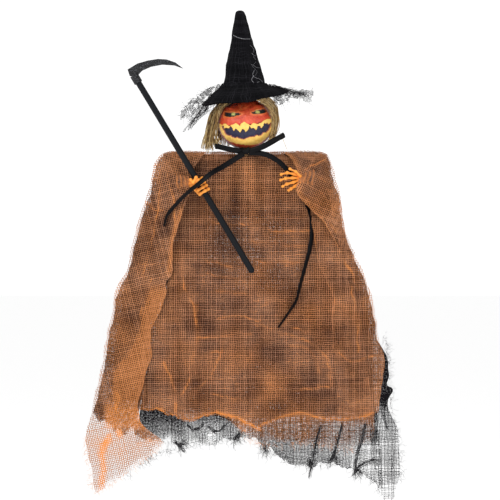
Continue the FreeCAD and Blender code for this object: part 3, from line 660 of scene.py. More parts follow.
def pumpkin_paint():
    """Hand paint on foam: red-orange skin, yellow lips, a navy mouth and dark eyes, with pink paint on the
    nose and painted pink highlights at the lips.
    """
    made, tree, shader = surface("pumpkin_paint", 0.55)
    place = on_object(tree)
    broad = noise(tree, place, 45.0, 5.0, 0.6)
    dabs = noise(tree, place, 190.0, 4.0, 0.7)
    fine = noise(tree, place, 700.0, 2.0)
    tone = maths(tree, "MULTIPLY_ADD", broad, 0.9, -0.42)
    skin = add_node(tree, "ValToRGB", {"Fac": maths(tree, "MULTIPLY_ADD", dabs, 0.9, tone)})
    stops = skin.color_ramp.elements
    stops[0].position, stops[0].color = 0.12, linear(140, 32, 20)
    stops[1].position, stops[1].color = 0.85, linear(232, 128, 62)
    stops.new(0.38).color = linear(200, 58, 32)
    stops.new(0.60).color = linear(214, 78, 38)
    colour = skin.outputs["Color"]
    yellow = blend_colour(tree, dabs, linear(232, 164, 52), linear(255, 226, 128))
    navy = blend_colour(tree, dabs, linear(8, 8, 24), linear(40, 36, 78))
    dark = blend_colour(tree, dabs, linear(10, 14, 24), linear(34, 54, 50))
    # the pink coat is paint on the nose, and painted highlights above the upper lip and left of the lower
    # lip
    coats_and_highlight = {"pink_and_highlight": linear(226, 98, 72), "rim": linear(48, 12, 12), "glow": linear(236, 138, 58),
             "lips": yellow, "mouth": navy, "eyes": dark, "pupils": linear(222, 220, 128)}
    for area, paint in coats_and_highlight.items():
        colour = blend_colour(tree, attribute(tree, area), colour, paint)
    tree.links.new(colour, shader.inputs["Base Color"])
    tree.links.new(maths(tree, "MULTIPLY_ADD", dabs, 0.3, 0.38), shader.inputs["Roughness"])
    shader.inputs["Coat Weight"].default_value = 0.12
    bump(tree, shader, maths(tree, "ADD", fine, dabs), 0.3, 0.4)
    return made


ORANGE = (linear(104, 64, 44), linear(198, 145, 112), linear(218, 136, 70))
PALE = (linear(214, 140, 92), linear(232, 172, 128), linear(236, 160, 92))
BLACK = (linear(8, 7, 9), linear(26, 23, 27), linear(14, 12, 15))

ORANGE_THREAD = (linear(196, 112, 60), linear(226, 150, 88), linear(246, 184, 118))
BLACK_THREAD = (linear(10, 9, 11), linear(30, 28, 32), linear(58, 56, 60))
WHITE_THREAD = (linear(96, 96, 100), linear(176, 176, 180))
STRAW = (linear(66, 44, 22), linear(132, 100, 52), linear(178, 146, 88), linear(226, 202, 150))

orange_gauze = gauze("orange_gauze", ORANGE, cover=0.28, pitch=ORANGE_PITCH, pulled=0.4)
pale_gauze = gauze("pale_gauze", PALE, cover=0.30, pulled=0.4)
black_gauze = gauze("black_gauze", BLACK, cover=0.80, pitch=BLACK_PITCH, wander=0.9)
torn_gauze = gauze("torn_gauze", BLACK, cover=0.46, missing=0.06, pitch=TORN_PITCH, ragged=0.45,
                   wander=1.8)
orange_thread = strand("orange_thread", ORANGE_THREAD, roughness=0.85)
black_thread = strand("black_thread", BLACK_THREAD, roughness=0.85)
white_thread = strand("white_thread", WHITE_THREAD, roughness=0.8)
raffia = strand("raffia", STRAW, roughness=0.6)
hat_felt = felt("hat_felt", linear(5, 5, 7), linear(52, 51, 56))
ribbon_satin = satin("ribbon_satin")
hand_plastic = moulded("hand_plastic", linear(206, 86, 14), linear(255, 176, 66),
                       roughness=0.5, grain=120.0, depth=0.35)
handle_plastic = moulded("handle_plastic", linear(3, 4, 6), linear(13, 16, 21),
                         roughness=0.42, grain=40.0, depth=0.15, shine=0.16)
wire_paint = moulded("wire_paint", linear(12, 12, 13), linear(34, 34, 36),
                     roughness=0.5, grain=60.0, depth=0.1)
blade_glitter = glitter()
pumpkin = pumpkin_paint()
plain_wood = wood()
plain_steel = steel()

build_camera()
build_studio()
build_floor()


# ------------------------------------------------------------------ robe


def coons(left, right, top, bottom, rows, cols):
    """A grid of points that fills the space between four edges of (x, y, z) points."""
    a, b = curve_through(left, rows)[:, None], curve_through(right, rows)[:, None]
    c, d = curve_through(top, cols)[None], curve_through(bottom, cols)[None]
    u = np.linspace(0, 1, cols)[None, :, None]
    v = np.linspace(0, 1, rows)[:, None, None]
    corners = ((1 - u) * (1 - v) * c[:, :1] + u * (1 - v) * c[:, -1:]
               + (1 - u) * v * d[:, :1] + u * v * d[:, -1:])
    return a * (1 - u) + b * u + c * (1 - v) + d * v - corners


def panel(name, edges, rows, cols, material, lift, creases=(), hem=0.0, seed=1,
          dense=None, thin=None, bulges=(), turn=0.0):
    """A sheet of cloth inside four edges: left, right, top and bottom.

    lift brings it forward. creases are (points, width, height) or (points, width, height,
    strength), and bulges are the first three of those. dense and thin are functions of x, z
    and the shares across and down. turn is the weave's slant in degrees.
    """
    left, right, top, bottom = edges
    points = coons(left, right, top, bottom, rows, cols)
    u = np.broadcast_to(np.linspace(0, 1, cols)[None, :], points.shape[:2])
    v = np.broadcast_to(np.linspace(0, 1, rows)[:, None], points.shape[:2])
    x, z = points[..., 0].copy(), points[..., 2].copy()
    if hem:
        teeth = wobble(u * cols / 5.0, 3 * v, seed) + 0.6 * wobble(u * cols / 1.7, 5 * v, seed + 1)
        ragged = hem * teeth
        points[..., 2] += ragged * np.clip((v - 0.9) * 10, 0, 1)
    edge_noise = 1.6 * wobble(z / 14.0, 5 * u, seed + 2)
    points[..., 0] += edge_noise * (np.clip(1 - 14 * u, 0, 1) + np.clip(14 * u - 13, 0, 1))
    depth = loose_folds(x, z) + 0.5 * wobble(x / 9.0, z / 9.0, seed + 3)
    fold = np.zeros(x.shape)
    wavy_x = x + 2.6 * wobble(x / 11.0, z / 11.0, seed + 4)
    wavy_z = z + 2.6 * wobble(x / 11.0, z / 11.0, seed + 5)
    patchy = np.clip(0.62 + 0.75 * wobble(x / 16.0, z / 16.0, seed + 6), 0.1, 1.0)
    for line, width, height, *rest in creases:
        strength = rest[0] if rest else 0.55
        core = near_line(wavy_x, wavy_z, line, 0.55 * width) * np.maximum(patchy, strength - 0.2)
        halo = near_line(wavy_x, wavy_z, line, 2.0 * width)
        depth -= height * (0.6 * core + 0.4 * halo)
        if height > 0:
            fold = np.maximum(fold, strength * np.maximum(core, 0.24 * halo))
    if dense is not None:
        fold = np.maximum(fold, dense(x, z, u, v))
    for line, width, height in bulges:
        depth -= height * near_line(x, z, line, width)
    points[..., 1] += depth - lift
    fray = np.clip((v - 0.985) * 30, 0, 0.45)
    if thin is not None:
        fray = np.maximum(fray, thin(x, z, u, v))
    cosine, sine = math.cos(math.radians(turn)), math.sin(math.radians(turn))
    uv = np.stack([x * cosine - z * sine, x * sine + z * cosine], axis=-1)
    mesh = grid_mesh(name, points, uv)
    cloth_attributes(mesh, fold.shape, fold, fray)
    return add_object(name, mesh, material)


def loose_folds(x, z):
    """The shared depth of the robe's layers: soft upright folds, deeper towards the hem."""
    fall = np.clip((-z - 40) / 480.0, 0, 1.2)
    sway = x + 14 * wobble(x / 90.0, z / 150.0, 11)
    folds = 3.2 * np.sin(sway / 17.0) + 2.0 * np.sin(sway / 9.3 + z / 160.0)
    return (0.25 + fall) * folds + 1.6 * wobble(x / 34.0, z / 40.0, 12)


def along(*pairs, y=0.0):
    """(x, z) pairs as (x, y, z) points at one depth."""
    return [(x, y, z) for x, z in pairs]


# where the arms push the wings forwards
LEFT_ARM = [([(-146, -2), (-136, -20), (-118, -46)], 13.0, 12.0)]
RIGHT_ARM = [([(146, -2), (136, -18), (118, -42)], 13.0, 12.0)]


def build_front():
    """The orange gauze of the front, with its creases."""
    left_side = [(-128, 14, 9), (-129, 1, 0)] + along(
        (-130, -60), (-142, -150), (-160, -238), (-182, -286), (-190, -350), (-198, -420), (-208, -473))
    right_side = [(128, 14, 9), (129, 1, 0)] + along(
        (132, -50), (150, -130), (180, -200), (204, -265), (218, -330), (228, -400), (238, -470),
        (240, -520))
    top = [(-128, 14, 9), (-60, 14, 9), (-30, 13, 9), (-17, 3, 8), (0, 1, 7), (17, 3, 8), (30, 13, 9),
           (60, 14, 9), (128, 14, 9)]
    hem = along((-208, -473), (-158, -471), (-130, -484), (-104, -490), (-82, -486), (-50, -479),
                (-26, -492), (-9, -512), (26, -531), (71, -529), (119, -531), (143, -536), (173, -538),
                (202, -542), (240, -520))
    creases = [
        ([(12, -156), (30, -157), (58, -160)], 3.0, 2.0),
        ([(73, -163), (92, -165), (115, -165)], 3.0, 2.0),
        ([(18, -193), (60, -196), (112, -193)], 3.4, 3.0),
        ([(46, -136), (84, -138), (120, -136)], 2.6, 1.0),
        ([(-74, -192), (-48, -197), (-24, -204)], 2.6, 1.5),
        ([(-54, -248), (-22, -251), (10, -256)], 2.6, 1.5),
        ([(-91, -273), (-89, -295), (-87, -323)], 3.0, 2.0),
        ([(-91, -334), (-65, -334), (-37, -330), (-13, -327), (10, -330)], 2.8, 2.0),
        ([(-119, -446), (-109, -427), (-106, -418), (-87, -386), (-84, -375), (-61, -362), (-32, -360)],
         3.0, 2.0),
        ([(85, -314), (108, -322), (132, -331)], 2.6, 1.5),
        ([(85, -351), (111, -355), (130, -369), (138, -399)], 2.6, 1.5),
        ([(174, -425), (217, -421), (228, -423)], 2.6, 1.2),
        ([(-50, -474), (-19, -482), (4, -494), (28, -507)], 5.0, 3.0, 1.0),
        ([(24, -501), (58, -486), (82, -477), (111, -477), (152, -486), (191, -483), (223, -479),
          (238, -473)], 4.0, 3.0, 0.9),
        ([(-200, -470), (-158, -468), (-130, -481), (-104, -487), (-82, -483), (-50, -474)], 4.5, 3.0,
         0.95),
        ([(-150, -478), (-110, -492), (-70, -484), (-30, -492), (0, -510)], 2.2, 1.0, 0.9),
        ([(171, -360), (198, -379), (238, -370)], 2.4, 1.2),
        ([(-118, -190), (-112, -240), (-96, -280), (-90, -330), (-104, -400)], 5.0, 2.0),
        ([(-150, -380), (-132, -430), (-128, -476)], 5.0, 2.0),
        ([(-40, -340), (-60, -400), (-96, -440)], 2.2, 1.0),
        ([(66, -328), (110, -340), (150, -372), (160, -420)], 2.4, 1.2),
        ([(20, -310), (52, -318), (80, -308)], 2.0, 0.8),
        ([(-60, -120), (-20, -126), (30, -120)], 2.0, 0.8),
        ([(40, -108), (86, -112), (118, -108)], 2.0, 0.8),
        ([(-70, -216), (-40, -222), (-8, -226)], 2.0, 0.8),
        ([(-50, -300), (-10, -296), (30, -304)], 2.0, 0.8),
        ([(30, -420), (90, -432), (160, -424)], 2.2, 1.0),
        ([(-60, -440), (0, -452), (60, -444)], 2.2, 1.0),
    ]

    def single_layer(x, z, u, v):
        return 0.14 * ramp(-z, 486, 12.0) * ramp(x, 0, 20.0) + 0.3 * np.clip((v - 0.985) * 60, 0, 1)

    edges = (left_side, right_side, top, hem)
    front = panel("front_panel", edges, 200, 150, orange_gauze, FRONT_LIFT, creases,
                  hem=4.0, seed=21, thin=single_layer)
    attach(front, "robe")
    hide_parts("robe_front")


def build_front_lining():
    """The black gauze under the front, longer than it."""
    left_under = [(-128, 12, 6), (-129, 1, -2)] + along(
        (-130, -60), (-140, -150), (-152, -250), (-172, -350), (-190, -440), (-206, -518))
    right_under = [(128, 12, 6), (129, 1, -2)] + along(
        (132, -50), (150, -130), (180, -200), (206, -265), (222, -330), (236, -420), (250, -520),
        (256, -618))
    under_top = [(-128, 12, 6), (-60, 12, 6), (-32, 11, 6), (-18, 0, 4), (0, 0, 2), (18, 0, 4),
                 (32, 11, 6), (60, 12, 6), (128, 12, 6)]
    under_hem = along((-206, -518), (-160, -526), (-110, -536), (-50, -530), (-4, -520), (26, -533),
                      (61, -551), (78, -568), (97, -573), (119, -572), (165, -570), (191, -581),
                      (212, -581), (243, -605), (256, -618))

    def bare_hem(x, z, u, v):
        below = ramp(-z, 474, 18.0)
        left_patch = ramp(-x, 100, 20.0) * ramp(z, -524, 10.0)
        ragged = ramp(-z - 12 * wobble(x / 13.0, z / 20.0, 37), 500, 30.0) * ramp(-x, -20, 20.0)
        sheer = 0.22 * ramp(x, 170, 30.0) * ramp(-z, 520, 20.0)
        return 0.40 * below * (1 - 0.5 * left_patch) + 0.28 * ragged + sheer

    gathers = [([(141, -500), (128, -545), (119, -590)], 4.0, 2.0),
               ([(178, -512), (170, -530), (161, -557)], 4.0, 2.0),
               ([(221, -512), (212, -536), (202, -588)], 4.0, 2.0),
               ([(205, -577), (232, -566)], 3.0, 1.0)]
    edges = (left_under, right_under, under_top, under_hem)
    lining = panel("front_underlay", edges, 190, 150, black_gauze, FRONT_LINING_LIFT,
                   gathers, hem=6.0, seed=31, thin=bare_hem)
    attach(lining, "robe")
    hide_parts("robe_front_lining")


def build_back():
    """The paler gauze of the back."""
    back_left = along((-150, 4), (-180, -90), (-215, -200), (-236, -290), (-248, -400), (-252, -462))
    back_right = along((150, 4), (176, -110), (212, -215), (232, -300), (240, -400), (238, -536))
    back_top = along((-150, 4), (-60, 4), (0, -4), (60, 4), (150, 4))
    back_hem = along((-252, -462), (-160, -474), (-60, -484), (-9, -512), (26, -531), (71, -529),
                     (119, -531), (143, -536), (173, -538), (202, -542), (238, -536))

    def pale_right(x, z, u, v):
        return np.clip((x - 120) / 160.0, 0, 0.6) * ramp(-z, 470, 30.0)

    creases = [([(-150, -490), (0, -500), (200, -530)], 4.0, 1.0)]
    edges = (back_left, back_right, back_top, back_hem)
    back = panel("back_panel", edges, 150, 130, pale_gauze, BACK_LIFT, creases, hem=4.0,
                 seed=41, thin=pale_right)
    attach(back, "robe")
    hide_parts("robe_back")


def build_back_lining():
    """The black gauze inside the back."""
    lining_top = along((-149, 3), (-60, 3), (0, -5), (60, 3), (149, 3))
    lining_left = along((-149, 3), (-179, -90), (-213, -200), (-234, -290), (-244, -400), (-246, -452))
    lining_right = along((149, 3), (175, -110), (210, -215), (230, -300), (238, -400), (240, -480))
    lining_hem = along((-246, -452), (-120, -470), (0, -486), (120, -482), (240, -480))
    edges = (lining_left, lining_right, lining_top, lining_hem)
    lining = panel("back_underlay", edges, 130, 120, black_gauze, BACK_LINING_LIFT,
                   hem=4.0, seed=51)
    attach(lining, "robe")
    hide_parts("robe_back_lining")


def build_left_wing():
    """From the shoulder over the arm and down to the pale tail, over a shorter lining."""
    outer = [(-136, -13, 12), (-148, -13, 10), (-157, -15, 5), (-164, -18, -3), (-169, -22, -14),
             (-173, -26, -30), (-177, -29, -52), (-187, -31, -87), (-200, -33, -122), (-212, -34, -173),
             (-221, -34, -213), (-231, -34, -230), (-242, -34, -256), (-245, -34, -286),
             (-254, -34, -319), (-260, -34, -351), (-265, -34, -386), (-273, -34, -421),
             (-286, -34, -475), (-295, -34, -518), (-293, -34, -551), (-286, -34, -577),
             (-278, -34, -625)]
    inner = [(-70, -31, 9), (-84, -46, -6), (-96, -60, -24), (-103, -74, -48), (-103, -70, -72),
             (-117, -56, -108), (-130, -47, -152), (-134, -43, -182), (-136, -40, -217),
             (-145, -38, -230), (-147, -37, -252), (-156, -36, -284), (-171, -36, -312),
             (-176, -36, -327), (-174, -36, -349), (-174, -36, -375), (-182, -36, -393),
             (-189, -36, -427), (-199, -36, -455), (-192, -36, -494), (-158, -36, -520),
             (-150, -36, -530)]
    wing_top = [(-136, -13, 12), (-116, -14, 13), (-92, -22, 12), (-70, -31, 9)]
    wing_hem = along((-278, -625), (-241, -600), (-224, -592), (-208, -578), (-180, -560), (-166, -544),
                     (-150, -530), y=-34)
    wing_creases = [
        ([(-154, -136), (-168, -163), (-168, -193), (-160, -234)], 3.4, -3.0),
        ([(-185, -82), (-170, -96), (-152, -97)], 2.4, 1.5),
        ([(-200, -200), (-180, -201), (-162, -200)], 2.4, 1.5),
        ([(-174, -228), (-195, -292), (-199, -327), (-224, -373), (-247, -399), (-250, -475)], 4.0, 2.5),
        ([(-120, -26), (-112, -40), (-108, -56)], 3.0, 3.0),
        ([(-132, -20), (-124, -44), (-120, -62)], 3.0, 3.0),
        ([(-144, -12), (-140, -50), (-132, -90), (-130, -140)], 3.6, 3.0),
        ([(-158, -20), (-160, -80), (-172, -150), (-190, -220)], 3.6, 2.5),
        ([(-252, -518), (-264, -544), (-262, -581), (-265, -620)], 15.0, 2.0, 0.95),
        ([(-214, -470), (-206, -500), (-176, -524)], 8.0, 2.0, 0.6),
        ([(-236, -440), (-240, -490), (-232, -512)], 14.0, 1.0, 0.8),
        ([(-163, -386), (-161, -364), (-148, -362), (-141, -369)], 2.0, 1.0),
    ]

    def bright_strip(x, z, u, v):
        line = np.interp(-z, [225, 292, 327, 373, 399, 475], [-174, -195, -199, -224, -247, -252])
        inside_strip = ramp(x, line, 5.0) * ramp(-z, 225, 25.0) * ramp(z, -500, 20.0)
        cuff = np.clip(1 - np.hypot(x + 112, z + 44) / 34.0, 0, 1)
        edge = np.interp(-z, [80, 150, 217], [-112, -134, -141])
        folded = np.clip(1 - np.abs(x - edge) / 9.0, 0, 1)
        folded = folded * ramp(-z, 80, 20.0) * ramp(z, -226, 16.0)
        foot = ramp(x, -268, 12.0) * ramp(-z, 440, 30.0) * ramp(z, -514, 14.0)
        tail = 0.12 * ramp(-z, 500, 20.0)
        return np.maximum.reduce([0.36 * inside_strip, 0.25 * cuff, 0.40 * folded, 0.5 * foot, tail])

    def tail_thin(x, z, u, v):
        return 0.05 * np.clip(1 - u * 22, 0, 1)

    wing = panel("left_panel", (outer, inner, wing_top, wing_hem), 230, 72, orange_gauze,
                 0.0, wing_creases, hem=2.0, seed=61,
                 dense=bright_strip, thin=tail_thin, bulges=LEFT_ARM, turn=-13.0)
    outer_black = [(x + 4, y + 4.5, z - 2) for x, y, z in outer if z > -480]
    inner_black = [(-72, -27, 6), (-88, -42, -8), (-100, -55, -26), (-108, -66, -70), (-121, -52, -112),
                   (-134, -43, -152), (-139, -38, -217), (-152, -33, -252), (-162, -31, -284),
                   (-177, -30, -312), (-180, -30, -349), (-182, -30, -393), (-192, -30, -440),
                   (-204, -30, -502)]
    black_top = [outer_black[0], (-116, -10, 10), (-92, -18, 9), (-72, -27, 6)]
    black_hem = [outer_black[-1], (-256, -29.5, -496), (-228, -29.5, -512), (-204, -30, -502)]

    def patch_thin(x, z, u, v):
        return 0.34 * ramp(-z, 470, 30.0)

    edges = (outer_black, inner_black, black_top, black_hem)
    lining = panel("left_underlay", edges, 180, 56, black_gauze, 0.0, hem=5.0, seed=71,
                   bulges=LEFT_ARM, thin=patch_thin)
    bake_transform(wing)
    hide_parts("robe_wing_left", "sleeve_left")
    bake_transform(lining)
    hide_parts("robe_wing_left_lining")


def build_right_sleeve():
    """The cloth over the right arm, over its lining."""
    sleeve_outer = [(136, -13, 12), (147, -13, 9), (155, -15, 3), (160, -19, -8), (164, -24, -22),
                    (169, -29, -45), (177, -33, -71), (180, -34, -100), (185, -35, -132),
                    (192, -36, -154), (206, -36, -184)]
    sleeve_inner = [(70, -31, 9), (84, -46, -2), (92, -62, -18), (97, -78, -38), (96, -80, -67),
                    (122, -66, -100), (143, -54, -117), (158, -47, -145), (173, -42, -169)]
    sleeve_top = [(136, -13, 12), (116, -14, 13), (92, -22, 12), (70, -31, 9)]
    sleeve_hem = [(206, -36, -184), (196, -37, -182), (184, -39, -176), (173, -42, -169)]
    sleeve_creases = [
        ([(108, -24), (130, -14), (148, -4)], 3.4, 3.0),
        ([(100, -62), (124, -92), (146, -110), (168, -138)], 4.4, 2.5),
        ([(120, -52), (146, -74), (168, -100)], 3.0, 2.0),
        ([(116, -34), (140, -40), (160, -52)], 3.0, 2.0),
        ([(182, -190), (192, -201), (201, -213)], 3.0, 0.0),
    ]

    def sleeve_band(x, z, u, v):
        return 0.32 * np.clip((u - 0.80) * 8, 0, 1)

    edges = (sleeve_outer, sleeve_inner, sleeve_top, sleeve_hem)
    sleeve = panel("right_sleeve", edges, 110, 70, orange_gauze, 0.0, sleeve_creases,
                   seed=81, dense=sleeve_band, bulges=RIGHT_ARM, turn=24.0)
    lining_outer = [(x - 4, y + 4.5, z - 2) for x, y, z in sleeve_outer]
    lining_inner = [(72, -27, 6), (86, -41, -4), (94, -56, -20), (99, -72, -40), (99, -74, -66),
                    (122, -60, -96), (143, -49, -113), (158, -42, -141), (172, -38, -165)]
    lining_top = [lining_outer[0], (116, -10, 10), (92, -18, 9), (72, -27, 6)]
    lining_hem = [lining_outer[-1], (190, -33, -178), (182, -35, -172), (172, -38, -165)]
    edges = (lining_outer, lining_inner, lining_top, lining_hem)
    lining = panel("right_sleeve_underlay", edges, 90, 56, black_gauze, 0.0, seed=91,
                   bulges=RIGHT_ARM)
    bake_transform(sleeve)
    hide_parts("sleeve_right")
    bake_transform(lining)


def build_right_wing():
    """The panel that hangs below the right sleeve, over its lining."""
    wing_outer = along((170, -60), (182, -110), (188, -154), (201, -180), (217, -210), (230, -243),
                       (236, -265), (245, -310), (247, -338), (258, -366), (256, -400), (250, -440),
                       (246, -476), y=-35)
    wing_inner = along((112, -60), (124, -122), (128, -158), (137, -199), (152, -234), (163, -260),
                       (160, -293), (161, -323), (168, -400), (172, -480), y=-37)
    wing_over = [(170, -35, -60), (150, -36, -60), (130, -37, -60), (112, -37, -60)]
    wing_under = along((246, -476), (223, -480), (200, -483), (172, -480), y=-35)
    right_creases = [([(180, -186), (198, -214), (208, -244)], 4.0, 1.5),
                     ([(124, -122), (128, -158), (137, -199), (152, -234), (163, -260), (160, -293),
                       (161, -323)], 3.4, 2.0),
                     ([(171, -360), (198, -379), (238, -370)], 2.4, 1.2),
                     ([(196, -240), (206, -300), (210, -360)], 3.4, 1.6)]
    edges = (wing_outer, wing_inner, wing_over, wing_under)
    wing = panel("right_panel", edges, 150, 50, orange_gauze, 1.0, right_creases, hem=3.0,
                 seed=101)
    under_outer = along((160, -60), (176, -110), (184, -154), (196, -180), (213, -210), (226, -243),
                        (232, -265), (241, -310), (245, -338), (264, -375), (267, -403), (264, -423),
                        (273, -432), (264, -462), (280, -497), (284, -533), (287, -585), (276, -632), y=-30)
    under_inner = along((116, -60), (128, -122), (132, -158), (141, -199), (156, -234), (167, -260),
                        (166, -323), (190, -400), (228, -480), (236, -560), (258, -636), y=-31)
    under_over = [(160, -30, -60), (148, -30, -60), (132, -31, -60), (116, -31, -60)]
    under_below = along((276, -632), (272, -636), (268, -634), (258, -636), y=-30)

    def dark_strip(x, z, u, v):
        return 0.22 * ramp(x, 244, 12.0) * ramp(-z, 350, 20.0) * ramp(z, -480, 20.0)

    def strip_thin(x, z, u, v):
        return 0.55 * ramp(-z, 455, 25.0) + 0.2 * ramp(-z, 590, 20.0)

    creases = [([(264, -480), (276, -530), (270, -600)], 3.0, 1.0)]
    edges = (under_outer, under_inner, under_over, under_below)
    lining = panel("right_underlay", edges, 190, 44, black_gauze, 0.0, creases, seed=111,
                   dense=dark_strip, thin=strip_thin)
    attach(wing, "robe")
    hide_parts("robe_wing_right")
    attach(lining, "robe")
    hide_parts("robe_wing_right_lining")


def hem_threads(name, lines, per_mm, reach, spread, material, seed, radius):
    """Loose thread ends that curl away from a hem's line of (x, z) points."""
    dice = random.Random(seed)
    paths = []
    for points, down in lines:
        line = curve_through(points, 200)
        length = float(np.linalg.norm(np.diff(line, axis=0), axis=1).sum())
        for _ in range(int(length * per_mm)):
            x, z = line[dice.randrange(200)]
            x, z = x + dice.uniform(-3, 3), z + dice.uniform(-2, 6)
            angle = math.atan2(down[1], down[0]) + dice.gauss(0, spread)
            size = reach * dice.uniform(0.25, 1.0)
            steps = np.linspace(0, 1, 10)[:, None]
            away = np.array([math.cos(angle), dice.uniform(-0.25, 0.25), math.sin(angle)])
            side = np.array([-away[2], 0, away[0]])
            bend, kink = dice.uniform(-0.6, 0.6), dice.uniform(0.02, 0.12)
            path = np.array([x, THREAD_DEPTH, z]) + away * size * steps + side * size * bend * steps ** 2
            path = path + side * size * kink * np.sin(9 * steps + dice.uniform(0, 6))
            path[:, 0] = np.clip(path[:, 0], THREADS_LEFT, THREADS_RIGHT)
            path[:, 2] = np.maximum(path[:, 2], THREADS_LOW)
            paths.append(path)
    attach(tubes(name, paths, [radius] * len(paths), material), "robe")


def build_hem_threads():
    """Loose threads, tufts and gathered threads along the hems."""
    below, right, left = (0.1, -1.0), (1.0, -0.5), (-1.0, -0.6)
    black = [([(-206, -516), (-160, -524), (-110, -534), (-50, -528), (-4, -518)], below),
             ([(26, -533), (61, -551), (97, -571), (165, -570), (212, -581), (252, -620)], below),
             ([(-120, -540), (-150, -546), (-172, -556), (-204, -578), (-228, -596)], (0.6, -0.8)),
             ([(258, -330), (267, -400), (268, -460), (284, -533), (287, -600)], right)]
    hem_threads("hem_threads_black", black, per_mm=0.55, reach=16.0, spread=0.9, material=black_thread,
                seed=181, radius=0.26)
    tufts = [([(119, -560), (121, -572)], below), ([(165, -548), (161, -562)], below),
             ([(205, -576), (212, -586)], below),
             ([(-118, -528), (-124, -538)], (0.7, -0.7)), ([(-8, -510), (-20, -524)], below),
             ([(30, -536), (40, -544)], below)]
    hem_threads("hem_tufts_black", tufts, per_mm=4.0, reach=22.0, spread=0.5, material=black_thread,
                seed=182, radius=0.34)
    orange = [([(-158, -534), (-200, -572), (-238, -598), (-274, -622)], (0.5, -0.9)),
              ([(-296, -518), (-294, -551), (-287, -577), (-279, -620)], left),
              ([(-9, -513), (26, -532), (119, -532), (202, -543)], below)]
    hem_threads("hem_threads_orange", orange, per_mm=0.5, reach=14.0, spread=0.7, material=orange_thread,
                seed=183, radius=0.24)
    gathers = [[(141, -498), (134, -520), (128, -545), (126, -562), (119, -594)],
               [(180, -494), (174, -520), (166, -545), (160, -562)],
               [(222, -494), (217, -520), (207, -550), (201, -590)],
               [(203, -584), (214, -572), (232, -564), (246, -562)],
               [(-106, -496), (-96, -505), (-84, -503), (-76, -494)],
               [(-68, -500), (-56, -509), (-44, -506), (-36, -496)],
               [(255, -474), (262, -500), (264, -504)], [(-130, -528), (-118, -540), (-112, -546)]]
    dice = random.Random(184)
    paths = []
    for line in gathers:
        for _ in range(16):
            flat = curve_through(line, 24)
            shift = np.array([dice.gauss(0, 1.6), dice.gauss(0, 1.6)])
            flat = flat + shift + 1.2 * np.sin(np.linspace(0, 7, 24) + dice.uniform(0, 6))[:, None]
            paths.append(np.array([(x, -35 - 2 * dice.random(), z) for x, z in flat]))
    made = tubes("gathered_threads", paths, [0.35] * len(paths), black_thread, taper=0.7)
    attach(made, "robe")


def build_shoulders():
    """The cloth folded over the bar on each side of the neck."""
    for side, word in ((-1, "left"), (1, "right")):
        rows, cols = 60, 60
        u = np.linspace(0, 1, cols)[None, :]
        v = np.linspace(0, 1, rows)[:, None]
        x = side * (SHOULDER_START + SHOULDER_WIDTH * u)
        arc = ramp(v, 0.36, 0.28) * math.pi
        front, back = np.clip(0.36 - v, 0, 1) / 0.36, np.clip(v - 0.64, 0, 1) / 0.36
        y = -11 - 15.0 * np.cos(arc) - 0.8 * front + 0.6 * back
        z = -1 + 12.2 * np.sin(arc) - 5 * front - 34 * back - 4.6 * ramp(SHOULDER_WIDTH * u, 111, 23) ** 2
        pucker = wobble(x / 7.0, v * 9, 5) + 0.6 * wobble(x / 3.2, v * 5, 6)
        points = grid_points(x, y + 0.6 * pucker * (front + back), z + 0.5 * pucker)
        mesh = grid_mesh("shoulder_" + word, points, cloth_lengths(points))
        cloth_attributes(mesh, points.shape[:2], fold=0.05 + 0.2 * pucker, fray=0)
        made = add_object("shoulder_" + word, mesh, orange_gauze, "robe")
        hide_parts("shoulder_wrap_" + word)


def build_cuffs():
    """Cloth gathered in rings round each wrist."""
    for word, z_wrist, x_open, x_wrist in (("left", -48.0, -127, -103.5), ("right", -42.0, 127, 103.5)):
        v, turn = round_grid(46, 72)
        rings = np.sin(v * 19 + 1.7 * np.sin(turn))
        radius = 8.6 + 5.5 * (1 - v) ** 1.5 + 1.1 * rings + 0.9 * np.sin(6 * turn + 4 * v)
        x = x_open + (x_wrist - x_open) * v + 0.8 * np.sin(turn * 3)
        y = HAND_DEPTH + 8.0 * (1 - v) + radius * np.cos(turn)
        points = grid_points(x, y, z_wrist + 3.0 * (1 - v) + radius * np.sin(turn))
        mesh = grid_mesh("cuff_" + word, points, grid_points(turn * 16, v * 70), wrap=True)
        cloth_attributes(mesh, points.shape[:2], fold=0.15 + 0.3 * rings, fray=0)
        made = add_object("cuff_" + word, mesh, orange_gauze, "arm_" + word)
        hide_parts("wrist_gather_" + word)


# ------------------------------------------------------------------ hat, head and hair


def brim_height(x, y, radius):
    """The brim's soft droop: lowest at the left and front, and nearly level at the right and back."""
    turn = np.arctan2(y - HAT_Y, x - HAT_X)
    edge = 110 + 13 * np.cos(turn) + 9 * np.sin(turn) + 3 * np.sin(2 * turn + 0.4)
    inner = 134.0
    share = np.clip((radius - 36) / 44.0, 0, 1.4)
    return inner + (edge - inner) * (0.35 * share + 0.65 * share ** 1.6)


def build_crown():
    """The tall soft cone: a leaning turned form with dents."""
    rows = 150
    turn = round_grid(rows, 160)[1]
    line = curve_through(CROWN_PROFILE, rows)
    radius, height = line[:, :1], line[:, 1:]
    dents = wobble(turn * 2.2 + height / 60.0, height / 22.0, 131)
    dents = dents + 0.5 * wobble(turn * 7, height / 9.0, 132)
    radius = radius + 1.5 * dents * ramp(radius, 0, 12.0)
    x = CROWN_X + radius * np.cos(turn) + CROWN_LEAN * height
    points = grid_points(x, HAT_Y + radius * np.sin(turn), CROWN_Z + height)
    mesh = grid_mesh("hat_crown", points, grid_points(turn * 34, height), wrap=True)
    cone = add_object("hat_crown", mesh, hat_felt, "head")
    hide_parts("hat_cone")


